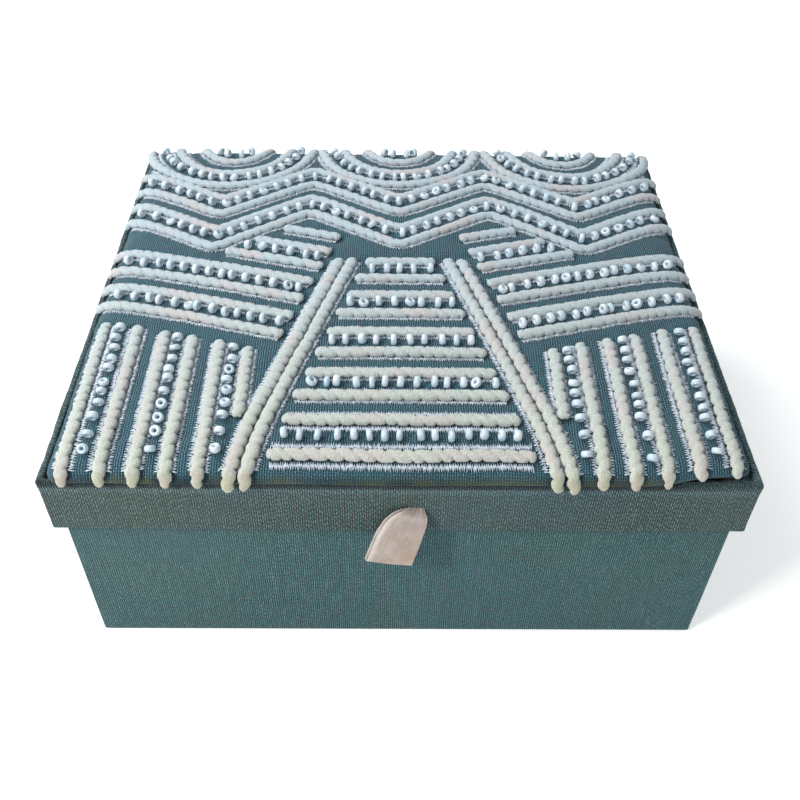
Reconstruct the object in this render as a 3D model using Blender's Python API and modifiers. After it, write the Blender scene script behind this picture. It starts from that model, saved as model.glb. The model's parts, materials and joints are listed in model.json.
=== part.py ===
"""Fabric box: board walls under cloth, a hinged lid with a rim, a padded embroidered panel and a ribbon pull.

The box stands on z = 0 with its origin at the middle of its bottom. +X is right, +Y is the back,
+Z is up, and the ribbon pull is on the front, at -Y. All lengths are in metres.
"""

import math

import bmesh
import bpy
from mathutils import Matrix, Vector

# Whole box, over its cloth
LID_WIDTH = 0.254
LID_DEPTH = 0.222
BOX_HEIGHT = 0.100  # floor to the top edge of the lid's rim
RIM_HEIGHT = 0.026

# Sheet and board thicknesses
BODY_CLOTH = 0.0004
WALL_BOARD = 0.0022
BASE_BOARD = 0.0022
LINING = 0.0004
BOTTOM_PAPER = 0.0004
RIM_CLOTH = 0.0004
RIM_BOARD = 0.0011
LID_BOARD = 0.0020
LID_LINING = 0.0004
PAD_CARD = 0.0010
CANVAS = 0.0006
HINGE_CLOTH = 0.0004

# Clearances
GLUE_GAP = 0.00025  # between glued pieces
LID_CLEARANCE = 0.0014  # between the front and back of the rim and the walls
LID_SIDE_CLEARANCE = 0.0007  # between the sides of the rim and the walls
LID_REST_GAP = 0.0004  # between the lid's lining and the cloth over the walls' top edge
CUT_OVERRUN = 0.002
MERGE_DISTANCE = 0.00001

# Cloth turned over the edges, and how far the papers stop short
BODY_TURN_IN = 0.012
BODY_TURN_UNDER = 0.014
RIM_BARE_BAND = 0.001  # board left bare between the rim's turned-in cloth and the lid's lining
BOTTOM_PAPER_INSET = 0.004
LINING_DROP = 0.003  # the wall linings stop this far under the walls' top
CORNER_ROUND = 0.0012

# Lid
RIM_PROUD = 0.0030  # the rim stands this far above the lid's board
HINGE_SETBACK = 0.0004  # the axis lies this far inside the rim's inner cloth
HINGE_LEAF_HEIGHT = 0.010
HINGE_END_INSET = 0.006
HINGE_AXIS_GAP = 0.0004  # each leaf stops this far from the axis

# Padded panel
PAD_SIDE_GAP = 0.0027  # between the pad's edge and the rim's inner cloth
PAD_EDGE_ROLL = 0.012
PAD_EDGE_RISE = 0.006
PAD_CROWN = 0.005
PAD_TUCK = 0.0010  # the canvas draws in this far under its widest line
PAD_CELLS_X = 18
PAD_CELLS_Y = 16

# Couched cord and its rows
CORD_RADIUS = 0.00235
CORD_GAP = 0.0003
CORD_CAGE_TOLERANCE = 0.00012
ROW_PITCH = 0.0112
ROW_STEP = 0.001
TURN_REACH_SHARE = 1.2  # how strongly a turn swings out, as a share of the row pitch
ROW_EDGE_MARGIN = 0.0024  # rows end this far inside the pad's widest line
SPINE_PITCH = 0.0054
BORDER_CLEARANCE = 0.0047  # between a field's rows and the line or cord that bounds it

# Places of the embroidery's lines, as shares of the pad's half width and half depth
SPINE_FOOT_SHARES = (0.47, -1.0)
SPINE_HEAD_SHARES = (0.19, 0.03)
SPLIT_INNER_SHARES = (0.33, -0.50)
SPLIT_OUTER_SHARES = (1.0, -0.26)
WAVE_SWING_SHARE = 0.15  # of the zigzag's period
WAVE_SHARPNESS_SHARE = 0.985
WAVE_COUNT = 3
WAVE_ROWS = 4
SCALLOP_RINGS = 3
SCALLOP_EDGE_GAP = 0.0040  # between two scallops' outer rings
WAVE_SCALLOP_PITCH = 0.0117  # from the zigzag's highest row up to the scallops' lowest points

# Ribbon pull
RIBBON_X = 0.0058
RIBBON_DROP = 0.0130  # the hole's middle under the rim's top edge
RIBBON_WIDTH = 0.0150
RIBBON_LENGTH = 0.0260
RIBBON_SHEET = 0.0003
RIBBON_FOLDED = 0.0016
RIBBON_STANDOFF = 0.0007  # between the rim's cloth and the hanging ribbon
RIBBON_HOLE_WIDTH = 0.0060
RIBBON_HOLE_HEIGHT = 0.0020
RIBBON_TAIL_HEIGHT = 0.0110
RIBBON_TAIL_GAP = 0.0002
RIBBON_NECK_GAP = 0.0003
RIBBON_SLANT = math.radians(23)
RIBBON_LIFT_FROM_FACE = math.radians(14)
RIBBON_TOP_RISE = 0.0008
# Outline of the hanging ribbon, as shares of its width and length
RIBBON_SHOULDER_SHARES = (
    (-0.65, 0.80), (-0.66, 0.51), (-0.61, 0.27), (-0.42, 0.12), (-0.15, 0.02),
    (0.04, 0.0), (0.20, 0.02), (0.345, 0.10), (0.40, 0.21),
)
RIBBON_FOOT_SHARES = ((0.545, 0.925), (-0.03, 1.0), (-0.61, 1.05))

# Heights
CLOTH_UNDERSIDE_Z = BOTTOM_PAPER + GLUE_GAP
BOARD_UNDERSIDE_Z = CLOTH_UNDERSIDE_Z + BODY_CLOTH + GLUE_GAP
FLOOR_LINING_Z = BOARD_UNDERSIDE_Z + BASE_BOARD + GLUE_GAP
RIM_BOTTOM_Z = BOX_HEIGHT - RIM_HEIGHT
LID_BOARD_TOP_Z = BOX_HEIGHT - RIM_PROUD
LID_BOARD_UNDERSIDE_Z = LID_BOARD_TOP_Z - LID_BOARD
LID_LINING_UNDERSIDE_Z = LID_BOARD_UNDERSIDE_Z - GLUE_GAP - LID_LINING
BODY_TOP_Z = LID_LINING_UNDERSIDE_Z - LID_REST_GAP
WALL_TOP_Z = BODY_TOP_Z - BODY_CLOTH - GLUE_GAP
PAD_UNDERSIDE_Z = LID_BOARD_TOP_Z + GLUE_GAP
FOAM_UNDERSIDE_Z = PAD_UNDERSIDE_Z + PAD_CARD + GLUE_GAP
PAD_EDGE_Z = FOAM_UNDERSIDE_Z + GLUE_GAP + CANVAS  # the pad's widest line

# Half sizes in plan, from the outside in
RIM_WALL = RIM_CLOTH + GLUE_GAP + RIM_BOARD + GLUE_GAP + RIM_CLOTH
LID_HALF_X, LID_HALF_Y = LID_WIDTH / 2, LID_DEPTH / 2
RIM_INNER_X, RIM_INNER_Y = LID_HALF_X - RIM_WALL, LID_HALF_Y - RIM_WALL
BODY_HALF_X, BODY_HALF_Y = RIM_INNER_X - LID_SIDE_CLEARANCE, RIM_INNER_Y - LID_CLEARANCE
WALL_OUTER_X = BODY_HALF_X - BODY_CLOTH - GLUE_GAP
WALL_OUTER_Y = BODY_HALF_Y - BODY_CLOTH - GLUE_GAP
WALL_INNER_X, WALL_INNER_Y = WALL_OUTER_X - WALL_BOARD, WALL_OUTER_Y - WALL_BOARD
LINING_OUTER_X = WALL_INNER_X - GLUE_GAP - BODY_CLOTH - GLUE_GAP
LINING_OUTER_Y = WALL_INNER_Y - GLUE_GAP - BODY_CLOTH - GLUE_GAP
RIM_BOARD_OUTER_X = LID_HALF_X - RIM_CLOTH - GLUE_GAP
RIM_BOARD_OUTER_Y = LID_HALF_Y - RIM_CLOTH - GLUE_GAP
RIM_BOARD_INNER_X, RIM_BOARD_INNER_Y = RIM_BOARD_OUTER_X - RIM_BOARD, RIM_BOARD_OUTER_Y - RIM_BOARD
PAD_HALF_X, PAD_HALF_Y = RIM_INNER_X - PAD_SIDE_GAP, RIM_INNER_Y - PAD_SIDE_GAP

# Joint axes
HINGE_Y = RIM_INNER_Y - HINGE_SETBACK
HINGE_Z = RIM_BOTTOM_Z
RIBBON_AXIS_Y = -LID_HALF_Y - RIBBON_STANDOFF - RIBBON_FOLDED / 2
RIBBON_AXIS_Z = BOX_HEIGHT - RIBBON_DROP

COLLECTION = "fabric_box"
CUTTERS = "cutters"


# Scene and materials


def clear_scene():
    for old in list(bpy.data.objects):
        bpy.data.objects.remove(old, do_unlink=True)
    for name in (COLLECTION, CUTTERS):
        collection = bpy.data.collections.get(name) or bpy.data.collections.new(name)
        if name not in bpy.context.scene.collection.children:
            bpy.context.scene.collection.children.link(collection)


def material(name, colour, roughness):
    made = bpy.data.materials.get(name) or bpy.data.materials.new(name)
    made.use_nodes = True
    shader = made.node_tree.nodes["Principled BSDF"]
    shader.inputs["Base Color"].default_value = (*colour, 1)
    shader.inputs["Roughness"].default_value = roughness
    shader.inputs["Metallic"].default_value = 0
    return made


def finishes():
    return {
        "slub_cloth": material("slub_cloth", (0.078, 0.135, 0.138), 0.9),
        "canvas": material("canvas", (0.085, 0.180, 0.230), 0.9),
        "greyboard": material("greyboard", (0.300, 0.280, 0.250), 0.85),
        "white_card": material("white_card", (0.700, 0.690, 0.660), 0.8),
        "lining_cotton": material("lining_cotton", (0.620, 0.600, 0.540), 0.9),
        "bottom_paper": material("bottom_paper", (0.095, 0.140, 0.145), 0.85),
        "pad_foam": material("pad_foam", (0.740, 0.720, 0.660), 0.95),
        "cord_cotton": material("cord_cotton", (0.680, 0.720, 0.700), 0.95),
        "ribbon_cotton": material("ribbon_cotton", (0.480, 0.420, 0.380), 0.75),
    }


# Building blocks


def add_object(name, mesh, finish, collection=COLLECTION, parent=None):
    made = bpy.data.objects.new(name, mesh)
    bpy.data.collections[collection].objects.link(made)
    if finish:
        mesh.materials.append(finish)
    if parent:
        hang(made, parent)
    return made


def hang(child, parent):
    """Parent to an empty, with the child's location still counted from the box's own origin."""
    child.parent = parent
    child.matrix_parent_inverse = Matrix.Translation(-parent.location)


def add_axis(name, place, parent=None):
    """An empty on a joint's axis, which carries the pieces that turn about it."""
    axis = bpy.data.objects.new(name, None)
    bpy.data.collections[COLLECTION].objects.link(axis)
    axis.location = place
    if parent:
        hang(axis, parent)
    return axis


def box_mesh(name, low, high):
    """A cube primitive stretched between two corners."""
    low, high = Vector(low), Vector(high)
    shape = bmesh.new()
    bmesh.ops.create_cube(shape, size=1)
    bmesh.ops.scale(shape, vec=high - low, verts=shape.verts)
    bmesh.ops.translate(shape, vec=(low + high) / 2, verts=shape.verts)
    return mesh_from(shape, name)


def mesh_from(shape, name):
    mesh = bpy.data.meshes.new(name)
    shape.to_mesh(mesh)
    shape.free()
    return mesh


def add_box(name, low, high, finish, parent=None):
    return add_object(name, box_mesh(name, low, high), finish, parent=parent)


def add_cutter(name, low, high):
    cutter = add_object(name, box_mesh(name, low, high), None, CUTTERS)
    cutter.hide_render = True
    cutter.display_type = "WIRE"
    return cutter


def combine(piece, other, operation):
    boolean = piece.modifiers.new(f"{operation.lower()} {other.name}", "BOOLEAN")
    boolean.operation = operation
    boolean.solver = "EXACT"
    boolean.object = other


def round_upright_edges(piece):
    """Round the four upright corner edges of a box before anything is cut from it."""
    shape = bmesh.new()
    shape.from_mesh(piece.data)
    upright = [
        edge for edge in shape.edges
        if (edge.verts[0].co - edge.verts[1].co).to_2d().length < MERGE_DISTANCE
    ]
    bmesh.ops.bevel(
        shape, geom=upright, offset=CORNER_ROUND, segments=3, profile=0.5, affect="EDGES"
    )
    shape.to_mesh(piece.data)
    shape.free()


# Body


def add_boards(prefix, outer, inner, bottom, top, finish, parent=None):
    """Four boards on edge: front and back at full width, the sides between them."""
    outer_x, outer_y = outer
    inner_x, inner_y = inner
    side_y = inner_y - GLUE_GAP
    places = {
        "front": ((-outer_x, -outer_y), (outer_x, -inner_y)),
        "back": ((-outer_x, inner_y), (outer_x, outer_y)),
        "left": ((-outer_x, -side_y), (-inner_x, side_y)),
        "right": ((inner_x, -side_y), (outer_x, side_y)),
    }
    return {
        side: add_box(f"{prefix}_{side}", (*low, bottom), (*high, top), finish, parent)
        for side, (low, high) in places.items()
    }


def add_body(finish):
    paper_x, paper_y = BODY_HALF_X - BOTTOM_PAPER_INSET, BODY_HALF_Y - BOTTOM_PAPER_INSET
    add_box(
        "bottom_paper", (-paper_x, -paper_y, 0), (paper_x, paper_y, BOTTOM_PAPER), finish["bottom_paper"]
    )
    add_boards(
        "wall_board",
        (WALL_OUTER_X, WALL_OUTER_Y),
        (WALL_INNER_X, WALL_INNER_Y),
        BOARD_UNDERSIDE_Z,
        WALL_TOP_Z,
        finish["greyboard"],
    )
    board_x, board_y = WALL_INNER_X - GLUE_GAP, WALL_INNER_Y - GLUE_GAP
    add_box(
        "base_board",
        (-board_x, -board_y, BOARD_UNDERSIDE_Z),
        (board_x, board_y, BOARD_UNDERSIDE_Z + BASE_BOARD),
        finish["greyboard"],
    )
    add_body_cloth(finish["slub_cloth"])
    add_linings(finish["lining_cotton"])


def add_ring(name, outer, inner, bottom, top, finish, parent=None):
    """A rectangular ring with rounded outer corners: a box with a box cut through it."""
    ring = add_box(name, (-outer[0], -outer[1], bottom), (outer[0], outer[1], top), finish, parent)
    round_upright_edges(ring)
    hole = add_cutter(
        f"{name}_hole",
        (-inner[0], -inner[1], bottom - CUT_OVERRUN),
        (inner[0], inner[1], top + CUT_OVERRUN),
    )
    combine(ring, hole, "DIFFERENCE")
    return ring


def cut_pocket(piece, outer, inner, bottom, top):
    """Cut a ring-shaped room for boards out of the cloth that wraps them."""
    pocket = add_cutter(f"{piece.name}_pocket", (-outer[0], -outer[1], bottom), (outer[0], outer[1], top))
    core = add_cutter(
        f"{piece.name}_pocket_core",
        (-inner[0], -inner[1], bottom - CUT_OVERRUN),
        (inner[0], inner[1], top + CUT_OVERRUN),
    )
    combine(pocket, core, "DIFFERENCE")
    combine(piece, pocket, "DIFFERENCE")


def add_body_cloth(finish):
    """One cloth round the walls, turned over their top edge and under the bottom."""
    fold_x, fold_y = WALL_INNER_X - GLUE_GAP - BODY_CLOTH, WALL_INNER_Y - GLUE_GAP - BODY_CLOTH
    under_x, under_y = WALL_OUTER_X - BODY_TURN_UNDER, WALL_OUTER_Y - BODY_TURN_UNDER
    cloth = add_ring(
        "body_cloth",
        (BODY_HALF_X, BODY_HALF_Y),
        (under_x, under_y),
        CLOTH_UNDERSIDE_Z,
        BODY_TOP_Z,
        finish,
    )
    inside = add_cutter(
        "body_cloth_inside",
        (-fold_x, -fold_y, CLOTH_UNDERSIDE_Z + BODY_CLOTH),
        (fold_x, fold_y, BODY_TOP_Z + CUT_OVERRUN),
    )
    combine(cloth, inside, "DIFFERENCE")
    room = (WALL_OUTER_X + GLUE_GAP, WALL_OUTER_Y + GLUE_GAP)
    turn = (WALL_INNER_X - GLUE_GAP, WALL_INNER_Y - GLUE_GAP)
    cut_pocket(cloth, room, turn, CLOTH_UNDERSIDE_Z + BODY_CLOTH, BODY_TOP_Z - BODY_CLOTH)
    below_turn = add_cutter(
        "body_cloth_below_turn",
        (-room[0], -room[1], CLOTH_UNDERSIDE_Z + BODY_CLOTH),
        (room[0], room[1], BODY_TOP_Z - BODY_TURN_IN),
    )
    combine(cloth, below_turn, "DIFFERENCE")


def add_linings(finish):
    """Linings on the four walls and the floor of the inside."""
    top = WALL_TOP_Z - LINING_DROP
    add_boards(
        "wall_lining",
        (LINING_OUTER_X, LINING_OUTER_Y),
        (LINING_OUTER_X - LINING, LINING_OUTER_Y - LINING),
        FLOOR_LINING_Z + LINING + GLUE_GAP,
        top,
        finish,
    )
    floor_x, floor_y = LINING_OUTER_X - GLUE_GAP, LINING_OUTER_Y - GLUE_GAP
    add_box(
        "floor_lining",
        (-floor_x, -floor_y, FLOOR_LINING_Z),
        (floor_x, floor_y, FLOOR_LINING_Z + LINING),
        finish,
    )


# Lid


def add_lid(finish, hinge):
    side_room = RIM_CLOTH + GLUE_GAP
    boards = add_boards(
        "rim_board",
        (RIM_BOARD_OUTER_X, RIM_BOARD_OUTER_Y),
        (RIM_BOARD_INNER_X, RIM_BOARD_INNER_Y),
        RIM_BOTTOM_Z + side_room,
        BOX_HEIGHT - side_room,
        finish["greyboard"],
        hinge,
    )
    board_x, board_y = RIM_INNER_X - GLUE_GAP, RIM_INNER_Y - GLUE_GAP
    add_box(
        "lid_board",
        (-board_x, -board_y, LID_BOARD_UNDERSIDE_Z),
        (board_x, board_y, LID_BOARD_TOP_Z),
        finish["greyboard"],
        hinge,
    )
    add_box(
        "lid_lining",
        (-board_x, -board_y, LID_LINING_UNDERSIDE_Z),
        (board_x, board_y, LID_LINING_UNDERSIDE_Z + LID_LINING),
        finish["lining_cotton"],
        hinge,
    )
    cloth = add_rim_cloth(finish["slub_cloth"], hinge)
    add_ribbon_tail(finish["ribbon_cotton"], hinge, boards["front"], cloth)


def add_rim_cloth(finish, hinge):
    """One cloth round the rim, turned over its top edge and under its bottom edge."""
    cloth = add_ring(
        "rim_cloth",
        (LID_HALF_X, LID_HALF_Y),
        (RIM_INNER_X, RIM_INNER_Y),
        RIM_BOTTOM_Z,
        BOX_HEIGHT,
        finish,
        hinge,
    )
    room = (RIM_BOARD_OUTER_X + GLUE_GAP, RIM_BOARD_OUTER_Y + GLUE_GAP)
    turn = (RIM_BOARD_INNER_X - GLUE_GAP, RIM_BOARD_INNER_Y - GLUE_GAP)
    cut_pocket(cloth, room, turn, RIM_BOTTOM_Z + RIM_CLOTH, BOX_HEIGHT - RIM_CLOTH)
    bare_band = add_cutter(
        "rim_cloth_bare_band",
        (-room[0], -room[1], LID_LINING_UNDERSIDE_Z - RIM_BARE_BAND),
        (room[0], room[1], LID_LINING_UNDERSIDE_Z),
    )
    combine(cloth, bare_band, "DIFFERENCE")
    return cloth


def add_hinge_leaves(finish, hinge):
    """The two glued leaves of the cloth hinge: on the back wall and inside the rear rim."""
    half_width = BODY_HALF_X - HINGE_END_INSET
    wall_face = BODY_HALF_Y + GLUE_GAP
    add_box(
        "hinge_leaf_body",
        (-half_width, wall_face, HINGE_Z - HINGE_AXIS_GAP - HINGE_LEAF_HEIGHT),
        (half_width, wall_face + HINGE_CLOTH, HINGE_Z - HINGE_AXIS_GAP),
        finish,
    )
    rim_face = RIM_INNER_Y - GLUE_GAP
    add_box(
        "hinge_leaf_lid",
        (-half_width, rim_face - HINGE_CLOTH, HINGE_Z + HINGE_AXIS_GAP),
        (half_width, rim_face, HINGE_Z + HINGE_AXIS_GAP + HINGE_LEAF_HEIGHT),
        finish,
        hinge,
    )


# Ribbon pull


def add_ribbon_tail(finish, hinge, front_board, rim_cloth):
    """The ribbon's glued end, sunk in the front of the rim's board, with its neck through the cloth."""
    board_face = -RIM_BOARD_OUTER_Y
    tail_front = board_face - GLUE_GAP + RIBBON_TAIL_GAP
    half_width = RIBBON_WIDTH / 2
    tail_low_z = RIBBON_AXIS_Z - RIBBON_TAIL_HEIGHT / 2
    tail = add_box(
        "ribbon_tail",
        (RIBBON_X - half_width, tail_front, tail_low_z),
        (RIBBON_X + half_width, tail_front + RIBBON_SHEET, tail_low_z + RIBBON_TAIL_HEIGHT),
        finish,
        hinge,
    )
    sunk = add_cutter(
        "ribbon_tail_room",
        (RIBBON_X - half_width - GLUE_GAP, -LID_HALF_Y, tail_low_z - GLUE_GAP),
        (
            RIBBON_X + half_width + GLUE_GAP,
            tail_front + RIBBON_SHEET + RIBBON_TAIL_GAP,
            tail_low_z + RIBBON_TAIL_HEIGHT + GLUE_GAP,
        ),
    )
    combine(front_board, sunk, "DIFFERENCE")

    half_hole_x, half_hole_z = RIBBON_HOLE_WIDTH / 2, RIBBON_HOLE_HEIGHT / 2
    hole = add_cutter(
        "ribbon_hole",
        (RIBBON_X - half_hole_x, -LID_HALF_Y - CUT_OVERRUN, RIBBON_AXIS_Z - half_hole_z),
        (RIBBON_X + half_hole_x, board_face - GLUE_GAP / 2, RIBBON_AXIS_Z + half_hole_z),
    )
    combine(rim_cloth, hole, "DIFFERENCE")
    neck_x, neck_z = half_hole_x - RIBBON_NECK_GAP, half_hole_z - RIBBON_NECK_GAP
    neck = add_cutter(
        "ribbon_neck",
        (RIBBON_X - neck_x, -LID_HALF_Y, RIBBON_AXIS_Z - neck_z),
        (RIBBON_X + neck_x, tail_front + RIBBON_SHEET / 2, RIBBON_AXIS_Z + neck_z),
    )
    combine(tail, neck, "UNION")


def add_ribbon_tab(finish, pull):
    """The doubled ribbon that hangs from the hole: a flat outline with a slanted, gathered top."""
    outline = [
        (across * RIBBON_WIDTH, -down * RIBBON_LENGTH)
        for across, down in RIBBON_SHOULDER_SHARES + RIBBON_FOOT_SHARES
    ]
    curve = bpy.data.curves.new("ribbon_tab", "CURVE")
    curve.dimensions = "2D"
    curve.fill_mode = "BOTH"
    curve.extrude = RIBBON_FOLDED / 2
    spline = curve.splines.new("POLY")
    spline.points.add(len(outline) - 1)
    for point, (x, y) in zip(spline.points, outline):
        point.co = (x, y, 0, 1)
    spline.use_cyclic_u = True
    flat = bpy.data.objects.new("ribbon_outline", curve)
    bpy.data.collections[COLLECTION].objects.link(flat)
    bpy.context.view_layer.update()
    mesh = bpy.data.meshes.new_from_object(flat.evaluated_get(bpy.context.evaluated_depsgraph_get()))
    bpy.data.objects.remove(flat, do_unlink=True)
    weld(mesh)
    tab = add_object("ribbon_tab", mesh, finish, parent=pull)
    tab.location = (RIBBON_X, RIBBON_AXIS_Y, RIBBON_AXIS_Z + RIBBON_TOP_RISE)
    tab.rotation_euler = (math.pi / 2 - RIBBON_LIFT_FROM_FACE, RIBBON_SLANT, 0)


def weld(mesh):
    shape = bmesh.new()
    shape.from_mesh(mesh)
    bmesh.ops.remove_doubles(shape, verts=shape.verts, dist=MERGE_DISTANCE)
    bmesh.ops.recalc_face_normals(shape, faces=shape.faces)
    shape.to_mesh(mesh)
    shape.free()


# Padded panel


def edge_roll(inset):
    """Share of the edge's rise that the pad has reached this far inside its widest line."""
    inward = min(max(inset / PAD_EDGE_ROLL, 0), 1)
    return math.sqrt(1 - (1 - inward) ** 2)


def canvas_height(x, y, half_x=PAD_HALF_X, half_y=PAD_HALF_Y):
    """The canvas's height over the pad's widest line."""
    rolled = edge_roll(half_x - abs(x)) * edge_roll(half_y - abs(y))
    crowned = (1 - (x / half_x) ** 2) * (1 - (y / half_y) ** 2)
    return PAD_EDGE_RISE * rolled + PAD_CROWN * max(crowned, 0)


def stations(half, cells):
    """Grid lines across the pad, close together where its edge rolls over."""
    return [half * math.sin(math.pi / 2 * (2 * index / cells - 1)) for index in range(cells + 1)]


def crowned_grid(half_x, half_y, edge_z):
    """A grid raised to the pad's crown."""
    shape = bmesh.new()
    bmesh.ops.create_grid(shape, x_segments=PAD_CELLS_X, y_segments=PAD_CELLS_Y, size=1)
    across, along = stations(half_x, PAD_CELLS_X), stations(half_y, PAD_CELLS_Y)
    for vert in shape.verts:
        column = round((vert.co.x + 1) / 2 * PAD_CELLS_X)
        row = round((vert.co.y + 1) / 2 * PAD_CELLS_Y)
        x, y = across[column], along[row]
        vert.co = (x, y, edge_z + canvas_height(x, y, half_x, half_y))
    return shape


def add_skirt(shape, half_x, half_y, foot_z, foot_inset):
    """Cloth that draws in from the grid's border, down to its foot."""
    border = [edge for edge in shape.edges if edge.is_boundary]
    skirt = bmesh.ops.extrude_edge_only(shape, edges=border)["geom"]
    for vert in (item for item in skirt if isinstance(item, bmesh.types.BMVert)):
        vert.co.x *= (half_x - foot_inset) / half_x
        vert.co.y *= (half_y - foot_inset) / half_y
        vert.co.z = foot_z
    bmesh.ops.recalc_face_normals(shape, faces=shape.faces)
    if sum(face.normal.z * face.calc_area() for face in shape.faces) < 0:
        bmesh.ops.reverse_faces(shape, faces=shape.faces)


def add_pad(finish, hinge):
    card_x = PAD_HALF_X - PAD_TUCK - CANVAS - GLUE_GAP
    card_y = PAD_HALF_Y - PAD_TUCK - CANVAS - GLUE_GAP
    add_box(
        "pad_card",
        (-card_x, -card_y, PAD_UNDERSIDE_Z),
        (card_x, card_y, PAD_UNDERSIDE_Z + PAD_CARD),
        finish["white_card"],
        hinge,
    )

    cover = crowned_grid(PAD_HALF_X, PAD_HALF_Y, PAD_EDGE_Z)
    add_skirt(cover, PAD_HALF_X, PAD_HALF_Y, PAD_UNDERSIDE_Z, PAD_TUCK)
    panel = add_object(
        "embroidered_panel", mesh_from(cover, "embroidered_panel"), finish["canvas"], parent=hinge
    )
    thickness = panel.modifiers.new("canvas thickness", "SOLIDIFY")
    thickness.thickness = CANVAS
    thickness.offset = -1

    inset = CANVAS + GLUE_GAP
    foam = crowned_grid(PAD_HALF_X - inset - PAD_TUCK, PAD_HALF_Y - inset - PAD_TUCK, FOAM_UNDERSIDE_Z)
    bmesh.ops.edgeloop_fill(foam, edges=[edge for edge in foam.edges if edge.is_boundary])
    bmesh.ops.recalc_face_normals(foam, faces=foam.faces)
    if foam.calc_volume(signed=True) < 0:
        bmesh.ops.reverse_faces(foam, faces=foam.faces)
    add_object("pad_foam", mesh_from(foam, "pad_foam"), finish["pad_foam"], parent=hinge)


# Couched cords


def share_point(shares):
    return shares[0] * PAD_HALF_X, shares[1] * PAD_HALF_Y


def wave_period():
    return 2 * PAD_HALF_X / WAVE_COUNT


def scallop_radius():
    return wave_period() / 2 - SCALLOP_EDGE_GAP / 2


def wave(x):
    """The zigzag's lowest row, with softly rounded corners. Its low points lie under the scallops."""
    turn = math.asin(-WAVE_SHARPNESS_SHARE * math.cos(2 * math.pi * x / wave_period()))
    swing = WAVE_SWING_SHARE * wave_period()
    highest_row = PAD_HALF_Y - scallop_radius() - WAVE_SCALLOP_PITCH
    middle = highest_row - (WAVE_ROWS - 1) * ROW_PITCH * wave_steepness() + swing
    return middle + swing * turn / math.asin(WAVE_SHARPNESS_SHARE)


def wave_steepness():
    """How much longer a distance along Y is than the same distance square to the zigzag."""
    return math.hypot(1, 4 * WAVE_SWING_SHARE)


def on_pad(x, y):
    return abs(x) < PAD_HALF_X - ROW_EDGE_MARGIN and abs(y) < PAD_HALF_Y - ROW_EDGE_MARGIN


def side_of(start, end, x, y):
    """Distance of a point to the left of the line from start to end."""
    (x0, y0), (x1, y1) = start, end
    return ((x1 - x0) * (y - y0) - (y1 - y0) * (x - x0)) / math.hypot(x1 - x0, y1 - y0)


def direction_of(start, end):
    return math.atan2(end[1] - start[1], end[0] - start[0])


def spine_line():
    return share_point(SPINE_FOOT_SHARES), share_point(SPINE_HEAD_SHARES)


def split_line():
    return share_point(SPLIT_INNER_SHARES), share_point(SPLIT_OUTER_SHARES)


def spine_clearance():
    return SPINE_PITCH / 2 + CORD_RADIUS + BORDER_CLEARANCE


def in_middle_field(x, y):
    head = share_point(SPINE_HEAD_SHARES)[1]
    return on_pad(x, y) and side_of(*spine_line(), abs(x), y) > spine_clearance() and y < head


def in_side_field(x, y):
    below_wave = (CORD_RADIUS + BORDER_CLEARANCE) * wave_steepness()
    return on_pad(x, y) and side_of(*spine_line(), x, y) < -spine_clearance() and y < wave(x) - below_wave


def in_lower_side_field(x, y):
    return in_side_field(x, y) and side_of(*split_line(), x, y) < -BORDER_CLEARANCE


def in_upper_side_field(x, y):
    return in_side_field(x, y) and side_of(*split_line(), x, y) > BORDER_CLEARANCE


def straight_row(direction, through, offset):
    """Points of a straight row, this far to the left of the line through a point."""
    along = Vector((math.cos(direction), math.sin(direction)))
    across = Vector((-along.y, along.x))
    start = Vector(through) + across * offset
    reach = math.ceil((PAD_HALF_X + PAD_HALF_Y) / ROW_STEP)
    return [tuple(start + along * ROW_STEP * step) for step in range(-reach, reach + 1)]


def ring_row(centre, radius):
    """Points of a half ring that opens to the back."""
    count = math.ceil(math.pi * radius / ROW_STEP)
    angles = (math.pi + math.pi * step / count for step in range(count + 1))
    return [(centre[0] + radius * math.cos(turn), centre[1] + radius * math.sin(turn)) for turn in angles]


def zigzag_row(lift):
    count = math.ceil(2 * PAD_HALF_X / ROW_STEP)
    places = (-PAD_HALF_X + 2 * PAD_HALF_X * step / count for step in range(count + 1))
    return [(x, wave(x) + lift) for x in places]


def clipped(row, inside):
    """The longest run of a row's points that lies in a field."""
    best, run = [], []
    for point in row:
        if inside(*point):
            run.append(point)
            best = run if len(run) > len(best) else best
        else:
            run = []
    return best


def turn_between(end, before, start, after):
    """A flattened round turn from one row's end to the next row's start."""
    end, before, start, after = (Vector(point) for point in (end, before, start, after))
    reach = TURN_REACH_SHARE * ROW_PITCH
    leave = (end - before).normalized() * reach
    arrive = (after - start).normalized() * reach
    steps = math.ceil((start - end).length / ROW_STEP)
    points = []
    for step in range(1, steps):
        t = step / steps
        points.append(tuple(
            (2 * t ** 3 - 3 * t ** 2 + 1) * end + (t ** 3 - 2 * t ** 2 + t) * leave
            + (3 * t ** 2 - 2 * t ** 3) * start + (t ** 3 - t ** 2) * arrive
        ))
    return points


def laid_in_rows(rows):
    """One unbroken route that runs up one row and down the next."""
    trim = math.ceil(TURN_REACH_SHARE * ROW_PITCH / 4 / ROW_STEP)
    kept = [row[trim:-trim] for row in rows if len(row) > 3 * trim]
    route = []
    for index, row in enumerate(kept):
        row = row if index % 2 == 0 else row[::-1]
        if route:
            route += turn_between(route[-1], route[-2], row[0], row[1])
        route += row
    return route


def on_canvas(x, y, height):
    """A place this far off the canvas, along its normal."""
    tiny = ROW_STEP / 2
    slope_x = (canvas_height(x + tiny, y) - canvas_height(x - tiny, y)) / (2 * tiny)
    slope_y = (canvas_height(x, y + tiny) - canvas_height(x, y - tiny)) / (2 * tiny)
    normal = Vector((-slope_x, -slope_y, 1)).normalized()
    return Vector((x, y, PAD_EDGE_Z + canvas_height(x, y))) + normal * height


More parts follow.
